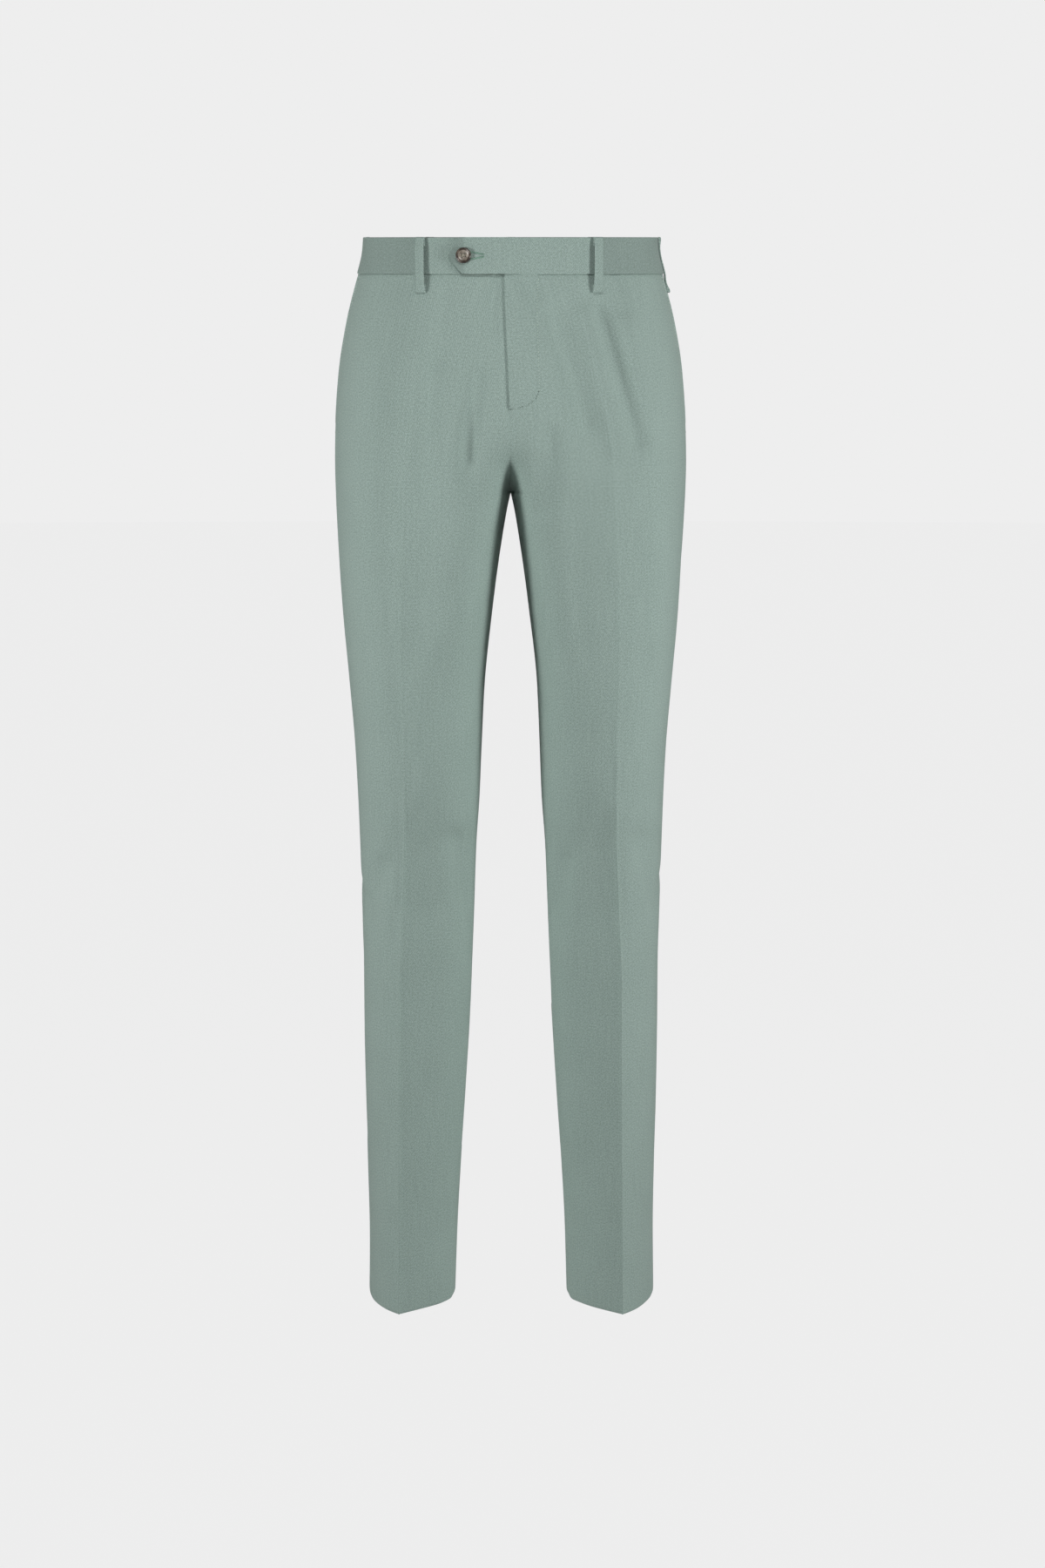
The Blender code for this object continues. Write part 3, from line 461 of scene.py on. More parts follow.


# Spun polyester thread: two plies twisted, with a soft gloss. Its colour runs light on the crests of the
# twist and dark in the grooves: painted highlight and painted shade.
def spunThread(name, light, dark):
    made, tree, shader = startMaterial(name, {"Roughness": 0.55, "IOR": 1.5, "Specular IOR Level": 0.4})
    place = addNode(tree, "ShaderNodeTexCoord").outputs["Object"]
    twist = addNode(tree, "ShaderNodeTexWave", {
        "bands_direction": "DIAGONAL", "Scale": 2 * math.pi / 20 / (0.6 * mm), "Distortion": 1.0,
    }, {"Vector": place})
    # painted shade in the grooves of the twist and painted highlight on its crests, following the bump
    colour = ramp(tree, twist.outputs["Fac"], [(0.1, linear(dark)), (0.9, linear(light))])
    tree.links.new(colour.outputs["Color"], shader.inputs["Base Color"])
    bump = addNode(tree, "ShaderNodeBump", {"Strength": 0.4, "Distance": 0.08 * mm}, {
        "Height": twist.outputs["Fac"]})
    tree.links.new(bump.outputs["Normal"], shader.inputs["Normal"])
    return made


suitingCloth = woolTwill("worsted wool twill", "#a2b3ad", "#8a9c95", "#6f8079")
# dark cloth for the sheet under the waistband tab: painted shadow round the tab's edge
tabShadowCloth = woolTwill("tab edge painted shadow", "#75857d", "#5f6e67", "#49564f")
# beyond the front belt loops the band's colour is darkened with painted shade, standing in for the shade it
# has there
bandCloths = {
    1: woolTwill("waistband twill left", "#a2b3ad", "#8a9c95", "#6f8079", paintedShadeFrom=0.063),
    -1: woolTwill("waistband twill right", "#a2b3ad", "#8a9c95", "#6f8079", paintedShadeFrom=0.075),
}
facingCloth = woolTwill("pocket facing twill", "#94a69f", "#7c8f87", "#61736b")
shieldCloth = woolTwill("fly shield twill", "#94a69f", "#7c8f87", "#61736b")
topThread = spunThread("pale topstitch thread", "#c3d0c8", "#93a69b")
tackThread = spunThread("bar tack thread", "#aebdb4", "#7f9388")
# dark thread round the fly's curved end: painted shadow of the fold below it
foldShadowThread = spunThread("fly curve thread darkened as painted shadow", "#55665e", "#3c4943")


# a new grid of faces, columns along x and rows down y, in the order of its points
def clothGrid(name, columnCount, rowCount):
    bm = bmesh.new()
    bmesh.ops.create_grid(bm, x_segments=columnCount - 1, y_segments=rowCount - 1, size=1)
    mesh = bpy.data.meshes.new(name)
    bm.to_mesh(mesh)
    bm.free()
    flat = np.zeros(len(mesh.vertices) * 3)
    mesh.vertices.foreach_get("co", flat)
    flat = flat.reshape(-1, 3)
    column = np.rint((flat[:, 0] + 1) / 2 * (columnCount - 1)).astype(int)
    row = np.rint((1 - flat[:, 1]) / 2 * (rowCount - 1)).astype(int)
    return mesh, row, column


# lays a grid on the given points (rows x columns x 3, mm) and gives it its cloth UV, in metres of real cloth
def layCloth(name, points, acrossZero, finish, thick, mirrored=False, soften=0.45, grainSign=1):
    rowCount, columnCount = points.shape[:2]
    mesh, row, column = clothGrid(name, columnCount, rowCount)
    mesh.vertices.foreach_set("co", (points[row, column] * mm).ravel())
    steps = np.linalg.norm(np.diff(points, axis=1), axis=2)
    across = np.concatenate([np.zeros((rowCount, 1)), np.cumsum(steps, axis=1)], axis=1)
    across -= across[:, acrossZero:acrossZero + 1]
    downSteps = np.linalg.norm(np.diff(points[:, acrossZero], axis=0), axis=1)
    down = np.concatenate([[0], np.cumsum(downSteps)])
    uv = np.column_stack([grainSign * across[row, column], -down[row]]) * mm
    corners = np.zeros(len(mesh.loops), int)
    mesh.loops.foreach_get("vertex_index", corners)
    layer = mesh.uv_layers.new(name="cloth")
    layer.data.foreach_set("uv", uv[corners].ravel())
    if mirrored:
        mesh.flip_normals()
    mesh.shade_smooth()
    mesh.materials.append(finish)
    made = bpy.data.objects.new(name, mesh)
    bpy.context.scene.collection.objects.link(made)
    wall = made.modifiers.new("wall", "SOLIDIFY")
    wall.thickness = thick * mm
    wall.offset = -1
    if soften:
        edge = made.modifiers.new("soft edge", "BEVEL")
        edge.width = soften * mm
        edge.segments = 2
        edge.limit_method = "ANGLE"
        edge.angle_limit = math.radians(60)
    return made


def finishPiece(made, node):
    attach(made, "root")
    if node:
        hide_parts(node)
    return made


def meshObject(name, bm, finish=None):
    mesh = bpy.data.meshes.new(name)
    bm.to_mesh(mesh)
    bm.free()
    if finish:
        mesh.materials.append(finish)
    made = bpy.data.objects.new(name, mesh)
    bpy.context.scene.collection.objects.link(made)
    return made


# stops: for each row the places between which the columns run; counts: steps of each stretch
def columnsBetween(stops, counts):
    parts = [stops[0][:, None]]
    for start, end, count in zip(stops, stops[1:], counts):
        share = np.linspace(0, 1, count + 1)[1:]
        parts.append(start[:, None] + (end - start)[:, None] * share)
    return np.hstack(parts)


def rowsBetween(stops, counts):
    return columnsBetween([np.array([float(s)]) for s in stops], counts)[0]


def onSkin(side, z, u, lift):
    shape = u.shape
    zs = np.broadcast_to(z[:, None], shape).ravel()
    points, normals = skin(side, zs, u.ravel(), np.broadcast_to(lift, shape).ravel())
    return points.reshape(*shape, 3), normals.reshape(*shape, 3)


# distance of each place from the first and last column of its row, mm
def edgeDistances(side, z, u):
    points, _ = onSkin(side, z, u, 0.0)
    steps = np.linalg.norm(np.diff(points, axis=1), axis=2)
    across = np.concatenate([np.zeros((len(z), 1)), np.cumsum(steps, axis=1)], axis=1)
    return across, across[:, -1:] - across


panels = {
    "rows": ((-34.53, -37, -200, -1040, -1049, -1053), (4, 62, 226, 3, 6)),
    "seamDip": 0.5, "seamDipWidth": 1.5, "bandDip": 0.7, "bandDipWidth": 2.2,
    "pocketRoll": 0.9, "pocketRollWidth": 2.2, "pocketGroove": 0.35, "pocketGrooveWidth": 1.1,
    "hemRoll": 1.3, "hemRollWidth": 2.0, "hemTurn": 40, "hemInset": 0.5,
    # how wide the strips of finer columns are
    "edgeStrip": 2.4, "sideStrip": 3.0, "creaseStrip": 2.6, "flyStrip": 33.0, "underFlyStrip": 26.0,
    # the pressed edge: level, then how far it stands out on the wearer's left and right leg
    "creaseEdge": ((-60, 0, 0), (-150, 0, 0.4), (-330, 0.1, 0.5), (-420, 0.5, 0.6), (-560, 0.8, 0.9),
                   (-700, 0.7, 0.9), (-1053, 0.6, 0.6)),
    "creaseWidth": 1.5, "backCrease": 0.7,
}


def panelRows():
    return rowsBetween(*panels["rows"])


# how the panels dip into their seams, and roll at the hem
def seamLift(z, fromSeam):
    return -panels["seamDip"] * np.exp(-(fromSeam / panels["seamDipWidth"]) ** 2) * np.ones_like(z)


def bandLift(z):
    away = (-body["bandHeight"] - z) / panels["bandDipWidth"]
    hem = (z + body["outseam"]) / panels["hemRollWidth"]
    return -panels["bandDip"] * np.exp(-away * away) - panels["hemRoll"] * np.exp(-hem * hem)


def creaseLift(side, z, u, atU):
    levels, left, right = np.array(panels["creaseEdge"], float).T
    height = np.interp(-z, -levels, left if side > 0 else right)
    crease = plainPoint(side, z.ravel(), np.full(z.size, float(atU)))
    turned = plainPoint(side, z.ravel(), u.ravel()) - crease
    away = np.linalg.norm(turned, axis=1).reshape(z.shape) / panels["creaseWidth"]
    return height * np.exp(-away * away) * (1 if atU == 1 else panels["backCrease"])


def flyLift(z, x):
    line = np.array(fly["stitchLine"], float)
    stitchX = np.interp(-z, -line[:, 1], line[:, 0])
    stitchX = np.where(z < line[-1, 1], -20, stitchX)
    fallen = smoothStep((z - fly["bottom"]) / fly["fade"])
    fallen = fallen * smoothStep((stitchX - x) / fly["stitchFade"] + 0.5)
    a, b = line[:-1], line[1:]
    place = np.stack(np.broadcast_arrays(x, z), -1)[..., None, :]
    run = b - a
    along = np.clip(((place - a) * run).sum(-1) / (run * run).sum(-1), 0, 1)
    away = np.linalg.norm(place - a - along[..., None] * run, axis=-1).min(-1)
    # the curved end is stitched through and pulls in deeper
    curved = smoothStep((fly["curveStart"] - z) / fly["curveFade"])
    depth = fly["groove"] + (fly["grooveEnd"] - fly["groove"]) * curved
    return fly["raise"] * fallen - depth * np.exp(-(away / fly["grooveWidth"]) ** 2)


def frontPanel(name, node, side):
    z = panelRows()
    if side > 0:
        start = stepAlong(1, z, 0.0, flyEdge(z) - centreLap(z))
        stitched = stepAlong(1, z, 0.0, panels["flyStrip"])
    else:
        start = stepAlong(-1, z, 0.0, rightEdge(z))
        stitched = stepAlong(-1, z, start, panels["underFlyStrip"])
    end = pocketEdge(side, z)
    one = np.ones_like(z)
    stops = [
        start, stepAlong(side, z, start, panels["edgeStrip"]), stitched,
        stepAlong(side, z, one, -panels["creaseStrip"]), one, stepAlong(side, z, one, panels["creaseStrip"]),
        stepAlong(side, z, end, -panels["sideStrip"]), end,
    ]
    counts = (3, 24 if side > 0 else 10, 20, 3, 3, 28, 5)
    u = columnsBetween(stops, counts)
    fromStart, fromEnd = edgeDistances(side, z, u)
    zz = np.broadcast_to(z[:, None], u.shape)
    lift = bandLift(zz)
    lift = lift + seamLift(zz, fromStart) * smoothStep((body["legsParted"] - 12 - zz) / 14)
    if side > 0:
        x = fromStart + (flyEdge(z) - centreLap(z))[:, None]
        lift = lift + flyLift(zz, x)
    else:
        hidden = smoothStep((zz - fly["bottom"]) / fly["fade"])
        lift = lift - fly["sink"] * hidden * smoothStep((fly["sinkWidth"] - fromStart) / fly["sinkFade"])
    mouthOpen = smoothStep((zz - pocketMouth["end"] - pocketMouth["endRise"]) / pocketMouth["endFade"])
    lift = lift + seamLift(zz, fromEnd) * (1 - mouthOpen)
    lift = lift + mouthOpen * panels["pocketRoll"] * np.exp(-(fromEnd / panels["pocketRollWidth"]) ** 2)
    groove = np.exp(-((fromEnd - pocketMouth["stitchIn"]) / panels["pocketGrooveWidth"]) ** 2)
    lift = lift - panels["pocketGroove"] * mouthOpen * groove
    lift = lift + creaseLift(side, zz, u, 1)
    points, _ = onSkin(side, z, u, lift)
    crease = sum(counts[:4])
    made = layCloth(name, points, crease, suitingCloth, body["cloth"], mirrored=side < 0, grainSign=side)
    return finishPiece(made, node)


def backPanel(name, node, side):
    z = panelRows()
    start = sideSeam(side, z)
    end = stepAlong(side, z, 4.0 * np.ones_like(z), centreLap(z))
    three = 3 * np.ones_like(z)
    stops = [
        start, stepAlong(side, z, start, panels["sideStrip"]),
        stepAlong(side, z, three, -panels["creaseStrip"]), three,
        stepAlong(side, z, three, panels["creaseStrip"]),
        stepAlong(side, z, end, -panels["sideStrip"]), end,
    ]
    counts = (4, 24, 3, 3, 24, 4)
    u = columnsBetween(stops, counts)
    fromStart, fromEnd = edgeDistances(side, z, u)
    zz = np.broadcast_to(z[:, None], u.shape)
    apart = smoothStep(np.abs(zz + 210) / 20 - 2)
    lift = bandLift(zz) + seamLift(zz, fromStart) + seamLift(zz, fromEnd) * apart + creaseLift(side, zz, u, 3)
    points, _ = onSkin(side, z, u, lift)
    crease = sum(counts[:3])
    made = layCloth(name, points, crease, suitingCloth, body["cloth"], mirrored=side < 0, grainSign=side)
    return finishPiece(made, node)


frontLeft = frontPanel("frontLeft", "front_left", 1)
frontRight = frontPanel("frontRight", "front_right", -1)
backLeft = backPanel("backLeft", "back_left", 1)
backRight = backPanel("backRight", "back_right", -1)


# the hem is turned up inside, one strip behind each panel
def hemTurn(name, side, firstU, lastU):
    z = -body["outseam"] + rowsBetween((panels["hemInset"], panels["hemTurn"]), (16,))[::-1]
    one = np.ones_like(z)
    first, last = (sideSeam(side, z) if place == 2 else place * one for place in (firstU, lastU))
    u = columnsBetween([first, (firstU + lastU) / 2 * one, last], (20, 20))
    points, _ = onSkin(side, z, u, -body["cloth"] - body["layerGap"])
    made = layCloth(name, points, 0, facingCloth, body["facing"], mirrored=side < 0, soften=0, grainSign=side)
    return finishPiece(made, None)


hemFrontLeft = hemTurn("hemFrontLeft", 1, 0, 2)
hemFrontRight = hemTurn("hemFrontRight", -1, 0, 2)
hemBackLeft = hemTurn("hemBackLeft", 1, 2, 4)
hemBackRight = hemTurn("hemBackRight", -1, 2, 4)
print("panels laid")


def pocketLayer(name, node, side):
    top = -body["bandHeight"]
    z = rowsBetween((top, pocketMouth["end"], pocketMouth["bagEnd"]), (52, 34))
    seam = sideSeam(side, z)
    depth = (top - z) / (top - pocketMouth["bagEnd"])
    width = pocketMouth["bagWidth"] * (1 - pocketMouth["bagTaper"] * depth ** pocketMouth["bagRound"])
    start = stepAlong(side, z, seam, -width)
    edge = np.maximum(stepAlong(side, z, pocketEdge(side, z), -pocketMouth["lap"]), start)
    split = np.minimum(edge, stepAlong(side, z, seam, -pocketMouth["seam"]))
    u = columnsBetween([start, split, seam], (26, 14))
    mouth = pocketEdge(side, z)
    wide = np.linalg.norm(plainPoint(side, z, seam) - plainPoint(side, z, mouth), axis=1)
    share = (u - mouth[:, None]) / np.where(seam - mouth == 0, 1, seam - mouth)[:, None]
    risen = smoothStep(share) * smoothStep(wide / pocketMouth["flush"])[:, None]
    lift = -pocketMouth["sink"] * (1 - np.where(z[:, None] > pocketMouth["end"], risen, 0))
    points, _ = onSkin(side, z, u, lift)
    made = layCloth(
        name, points, 26, facingCloth, body["facing"], mirrored=side < 0, soften=0, grainSign=side)
    return finishPiece(made, node)


pocketLeft = pocketLayer("pocketLeft", "pocket_left", 1)
pocketRight = pocketLayer("pocketRight", "pocket_right", -1)

waistband = {
    "tabTip": -56.5, "tabShoulder": -45, "tabBlunt": 0.10, "tabBend": 1.12, "tabRamp": (16, -6),
    "tabEnd": -8, "rightEnd": -9, "soften": 0.6, "shadowReach": 0.8, "shadowLift": 0.36, "shadowThick": 0.25,
    "shadowTop": -0.3,
}
waistband["tabRaise"] = body["bandCloth"] + body["layerGap"]


def bandRows():
    bottom = -body["bandHeight"]
    return rowsBetween((0, -1.2, bottom + 1.2, bottom), (2, 12, 2))


def tabHalf(x):
    share = np.clip((waistband["tabShoulder"] - x) / (waistband["tabShoulder"] - waistband["tabTip"]), 0, 1)
    return 1 - (1 - waistband["tabBlunt"]) * share ** waistband["tabBend"]


def layBand(name, node, side):
    z = bandRows()
    middle = (z[0] + z[-1]) / 2
    one = np.ones_like(z)
    if side > 0:
        tip, shoulder, tabEnd = (waistband[part] for part in ("tabTip", "tabShoulder", "tabEnd"))
        places = rowsBetween((tip, shoulder, tabEnd, 18, 20), (10, 20, 18, 1))
        zz = middle + (z[:, None] - middle) * tabHalf(places)
        start = stepAlong(1, zz.ravel(), 0.0, np.broadcast_to(places, zz.shape).ravel()).reshape(zz.shape)
        high, low = waistband["tabRamp"]
        raised = smoothStep((high - places) / (high - low)) * waistband["tabRaise"]
        tabPoints, _ = skin(1, zz.ravel(), start.ravel(), (body["bandProud"] + raised + 0 * zz).ravel())
        tabPoints = tabPoints.reshape(*zz.shape, 3)
        first = start[:, -1]
    else:
        first = stepAlong(-1, z, 0.0, -waistband["rightEnd"])
    u = columnsBetween([first, one, 2 * one, 3 * one, 4 * one], (16, 40, 40, 22))
    points, _ = onSkin(side, z, u, body["bandProud"])
    if side > 0:
        points = np.concatenate([tabPoints, points[:, 1:]], axis=1)
    plainColumn = len(places) - 1 if side > 0 else 0
    made = layCloth(name, points, plainColumn, bandCloths[side], body["bandCloth"], mirrored=side < 0,
                    soften=waistband["soften"], grainSign=side)
    return finishPiece(made, node)


# a dark sheet under the tab, of which a thin edge shows all round: painted shadow along the tab's edge
def tabEdgeShadow():
    z = bandRows()
    middle = (z[0] + z[-1]) / 2
    reach = waistband["shadowReach"]
    tip, shoulder, tabEnd = (waistband[part] for part in ("tabTip", "tabShoulder", "tabEnd"))
    places = rowsBetween((tip - reach, shoulder, tabEnd), (10, 20))
    half = np.abs(z[0] - middle)
    zz = middle + (z[:, None] - middle) * tabHalf(places) * (1 + reach / half)
    zz = np.minimum(zz, waistband["shadowTop"])
    u = stepAlong(1, zz.ravel(), 0.0, np.broadcast_to(places, zz.shape).ravel())
    points, _ = skin(1, zz.ravel(), u, body["bandProud"] + waistband["shadowLift"])
    points = points.reshape(*zz.shape, 3)
    made = layCloth("tabEdgeShadow", points, len(places) - 1, tabShadowCloth, waistband["shadowThick"], soften=0)
    return finishPiece(made, None)


tabEdgeShadowPiece = tabEdgeShadow()
bandLeft = layBand("waistbandLeft", "waistband_left", 1)
bandRight = layBand("waistbandRight", "waistband_right", -1)
print("pockets and waistband laid")


def closureStrip(name, node, edges, depth, finish):
    z = rowsBetween(fly["stripLevels"], (40,))
    start = stepAlong(1, z, 0.0, edges[0])
    end = stepAlong(1, z, 0.0, edges[1])
    points, _ = onSkin(1, z, columnsBetween([start, end], (12,)), -depth)
    return finishPiece(layCloth(name, points, 0, finish, body["tape"], soften=0.3), node)


# Zip tape: herringbone-woven polyester, finer and flatter than the suiting.
zipCloth = woolTwill("woven zip tape", "#6f8177", "#5b6c62", "#48574e", ribSpacing=1.0)
layerDepth = body["cloth"] + body["layerGap"]
zipTape = closureStrip("zipTape", "zip", fly["zipEdges"], layerDepth, zipCloth)
flyShield = closureStrip(
    "flyShield", "fly_shield", fly["shieldEdges"], 2 * layerDepth, shieldCloth)

zipChain = {
    "x": 5.0, "top": -44.0, "end": -158.0, "pitch": 1.9, "tooth": (3.2, 0.9, 1.0), "slider": (8.5, 2.4, 9.0),
    "pull": (5.0, 0.9, 17.0), "stand": 0.7,
}


# Brass teeth: pressed wire clamped on the tape, dull and a little darkened.
def agedBrass(name):
    made, tree, shader = startMaterial(name, {"Metallic": 1.0, "Roughness": 0.38})
    place = addNode(tree, "ShaderNodeTexCoord").outputs["Object"]
    patchy = addNode(tree, "ShaderNodeTexNoise", {"Scale": 1 / (2.5 * mm), "Detail": 3.0}, {"Vector": place})
    colour = ramp(tree, patchy.outputs["Fac"], [(0.3, linear("#6d6047")), (0.7, linear("#a39471"))])
    tree.links.new(colour.outputs["Color"], shader.inputs["Base Color"])
    return made


# the chain lies behind the tape, closed, with its slider at the top and the pull hanging down
def makeZipChain():
    z = np.arange(zipChain["top"], zipChain["end"], -zipChain["pitch"])
    depth = body["cloth"] + body["layerGap"] + body["tape"] + zipChain["stand"]
    u = stepAlong(1, z, 0.0, zipChain["x"])
    points, normals = skin(1, z, u, -depth)
    shift = np.where(np.arange(len(z)) % 2 == 0, 0.8, -0.8)
    bm = bmesh.new()
    boxes = [(point, normal, zipChain["tooth"], s) for point, normal, s in zip(points, normals, shift)]
    boxes.append((points[3] - normals[3] * 0.4, normals[3], zipChain["slider"], 0))
    boxes.append((points[9] - normals[9] * 2.6, normals[9], zipChain["pull"], 0))
    for point, normal, size, s in boxes:
        out = Vector(normal)
        right = Vector((0, 0, 1)).cross(-out).normalized()
        up = right.cross(out) * -1
        turn = Matrix((right * size[0], out * size[1], up * size[2])).transposed().to_4x4()
        turn.translation = Vector(point) + right * s
        bmesh.ops.create_cube(bm, size=1, matrix=Matrix.Scale(mm, 4) @ turn)
    bmesh.ops.recalc_face_normals(bm, faces=bm.faces)
    bmesh.ops.bevel(
        bm, geom=bm.edges[:], affect="EDGES", offset=0.2 * mm, segments=1, profile=0.5, material=-1)
    return finishPiece(meshObject("zipChain", bm, agedBrass("aged brass")), None)


zipChainPiece = makeZipChain()

beltLoops = {
    "width": 8.6, "below": 18.6, "top": 0.2, "head": 9, "foot": 7, "thick": 1.2, "bend": 1.55, "tuck": 7,
    "clear": 0.2,
    "loops": (
        ("beltLoopFrontLeft", "belt_loop_front_left", 1, "front", 81.0, 1.2),
        ("beltLoopFrontRight", "belt_loop_front_right", -1, "front", 82.5, 1.2),
        ("beltLoopSideLeft", "belt_loop_side_left", 1, "side", 3.5, -1.4),
        ("beltLoopSideRight", "belt_loop_side_right", -1, "side", 30.0, -0.4),
        ("beltLoopBackLeft", "belt_loop_back_left", 1, "back", 80.0, 0.8),
        ("beltLoopBackRight", "belt_loop_back_right", -1, "back", 80.0, 0.8),
        ("beltLoopCentreBack", "belt_loop_centre_back", 1, "back", 0.0, 0.4),
    ),
}


def loopPlace(side, z, face, place):
    if face == "side":
        return stepAlong(side, z, 2.0, place)
    near = np.full_like(z, 0.0 if face == "front" else 4.0)
    far = np.full_like(z, 2.0)
    for _ in range(30):
        u = (near + far) / 2
        inside = np.abs(plainPoint(side, z, u)[:, 0]) < place
        near, far = np.where(inside, u, near), np.where(inside, far, u)
    return (near + far) / 2


def beltLoop(name, node, side, face, place, slack):
    top, bottom, bend = beltLoops["top"], -body["bandHeight"] - beltLoops["below"], beltLoops["bend"]
    # the strip's path, its level and its height over the cloth: both ends are turned under
    turn = np.radians(np.linspace(0, 180, 9))[1:-1]
    high, low, tuck = top - bend, bottom + bend, beltLoops["tuck"]
    z = np.concatenate([
        np.linspace(high - tuck, high, 4), high + bend * np.sin(turn),
        np.linspace(high, low, 34), low - bend * np.sin(turn), np.linspace(low, low + tuck, 4)])
    height = np.concatenate([
        np.zeros(4), bend * (1 - np.cos(turn)), np.full(34, 2 * bend), bend * (1 + np.cos(turn)),
        np.zeros(4)])
    outer = smoothStep(height / bend - 1)
    free = smoothStep((high - z) / beltLoops["head"]) * smoothStep((z - low) / beltLoops["foot"])
    onBand = smoothStep((z + body["bandHeight"]) / beltLoops["foot"] + 1)
    lift = beltLoops["clear"] + body["bandProud"] * onBand + slack * free * outer + height
    u = loopPlace(side, z, face, place)
    centre, normal = skin(side, z, u, lift)
    over = plainPoint(side, z, u + 0.01) - plainPoint(side, z, u - 0.01)
    over /= np.linalg.norm(over, axis=1)[:, None]
    # the folded strip is a little rounded across
    shares = np.linspace(-1, 1, 9)
    crown = -0.3 * (height / bend - 1)[:, None] * np.abs(shares)[None, :] ** 3
    points = centre[:, None] + over[:, None] * (shares * beltLoops["width"] / 2)[None, :, None]
    points = points + normal[:, None] * crown[:, :, None]
    made = layCloth(name, points, 4, suitingCloth, beltLoops["thick"], mirrored=side < 0,
                    soften=0.35, grainSign=side)
    return finishPiece(made, node)


loopPieces = [beltLoop(*row) for row in beltLoops["loops"]]
print("belt loops laid")


# short thread beads along a row of points: one low ball each, pulled long
def stitchBeads(name, points, normals, ways, length, thick, finish):
    bm = bmesh.new()
    for point, normal, along in zip(points, normals, ways):
        along = Vector(along).normalized()
        up = Vector(normal)
        up = (up - along * up.dot(along)).normalized()
        out = Matrix((along * length / 2, up.cross(along) * thick / 2, up * thick / 2)).transposed().to_4x4()
        out.translation = Vector(point)
        bmesh.ops.create_icosphere(bm, subdivisions=1, radius=1, matrix=Matrix.Scale(mm, 4) @ out)
    bmesh.ops.recalc_face_normals(bm, faces=bm.faces)
    made = meshObject(name, bm, finish)
    made.data.shade_smooth()
    return finishPiece(made, None)


# evenly spaced places on a line of (x, z)
def alongLine(line, pitch):
    line = np.array(line, float)
    steps = np.linalg.norm(np.diff(line, axis=0), axis=1)
    far = np.concatenate([[0], np.cumsum(steps)])
    at = np.arange(pitch / 2, far[-1], pitch)
    return np.column_stack([np.interp(at, far, line[:, k]) for k in (0, 1)])


stitches = {
    "pitch": 3.0, "length": 2.1, "thick": 0.65, "stand": 0.1, "closePitch": 2.2, "closeLength": 1.9,
    "pocketTop": -38.0, "pocketFoot": 6, "pocketSink": 0.15,
}


def flyStitch(name, line, pitch, length, thread):
    spots = alongLine(line, pitch)
    x, z = spots.T
    u = stepAlong(1, z, 0.0, x)
    points, normals = skin(1, z, u, flyLift(z, x) + stitches["stand"])
    ways = np.gradient(points, axis=0)
    return stitchBeads(name, points, normals, ways, length, stitches["thick"], thread)


def pocketStitch(name, side):
    z = np.arange(stitches["pocketTop"], pocketMouth["end"] + stitches["pocketFoot"], -stitches["pitch"])
    u = stepAlong(side, z, pocketEdge(side, z), -pocketMouth["stitchIn"])
    points, normals = skin(side, z, u, -stitches["pocketSink"])
    ways = np.gradient(points, axis=0)
    return stitchBeads(name, points, normals, ways, stitches["length"], stitches["thick"], topThread)


# pale down the side of the fly, and close round its curved end, where the thread is dark: painted shadow of
# the fold below the curve
flyStitchSide = flyStitch(
    "flyStitchSide", fly["stitchLine"][:7], stitches["pitch"], stitches["length"], topThread)
flyStitchEnd = flyStitch(
    "flyStitchEnd", fly["stitchLine"][6:], stitches["closePitch"], stitches["closeLength"], foldShadowThread)
pocketStitchLeft = pocketStitch("pocketStitchLeft", 1)
pocketStitchRight = pocketStitch("pocketStitchRight", -1)


tacks = {
    "stitches": 9, "bar": 5.0, "length": 2.2, "thick": 0.6, "stand": 0.35, "inset": 2.0,
    "top": -40.0, "foot": 2,
}


# close stitches side by side over a short bar
def barTack(side, z):
    level = np.array([z])
    u = stepAlong(side, level, pocketEdge(side, level), -tacks["inset"])
    point, normal = skin(side, level, u, tacks["stand"])
    over = (plainPoint(side, level, u + 0.01) - plainPoint(side, level, u))[0]
    over /= np.linalg.norm(over)
    shares = np.linspace(-0.5, 0.5, tacks["stitches"])
    points = point[0] + over * (shares * tacks["bar"])[:, None]
    stitch = np.cross(normal[0], over)
    return points, np.repeat(normal, len(shares), axis=0), np.repeat(stitch[None], len(shares), axis=0)


def allTacks():
    rows = [barTack(side, z) for side in (1, -1) for z in (tacks["top"], pocketMouth["end"] + tacks["foot"])]
    points, normals, ways = (np.concatenate([row[k] for row in rows]) for k in range(3))
    return stitchBeads("pocketTacks", points, normals, ways, tacks["length"], tacks["thick"], tackThread)


allTacks()


# Horn: natural buffalo horn turned on a lathe and polished, dark brown with paler clouds.
def polishedHorn(name, dark, middle, light):
    made, tree, shader = startMaterial(name, {
        "Roughness": 0.32, "IOR": 1.54, "Coat Weight": 0.25, "Coat Roughness": 0.15})
    place = addNode(tree, "ShaderNodeTexCoord").outputs["Object"]
    cloud = addNode(tree, "ShaderNodeTexNoise", {
        "Scale": 1 / (4.5 * mm), "Detail": 4.0, "Roughness": 0.6, "Distortion": 0.8}, {"Vector": place})
    fibre = addNode(tree, "ShaderNodeTexNoise", {"Scale": 1 / (0.7 * mm), "Detail": 3.0}, {"Vector": place})
    blend = addNode(tree, "ShaderNodeMath", {"operation": "MULTIPLY_ADD", 1: 0.25}, {
        0: fibre.outputs["Fac"], 2: cloud.outputs["Fac"]})
    colour = ramp(tree, blend.outputs["Value"], [
        (0.45, linear(dark)), (0.62, linear(middle)), (0.8, linear(light))])
    tree.links.new(colour.outputs["Color"], shader.inputs["Base Color"])
    bump = addNode(tree, "ShaderNodeBump", {"Strength": 0.2, "Distance": 0.1 * mm}, {
        "Height": fibre.outputs["Fac"]})
    tree.links.new(bump.outputs["Normal"], shader.inputs["Normal"])
    return made


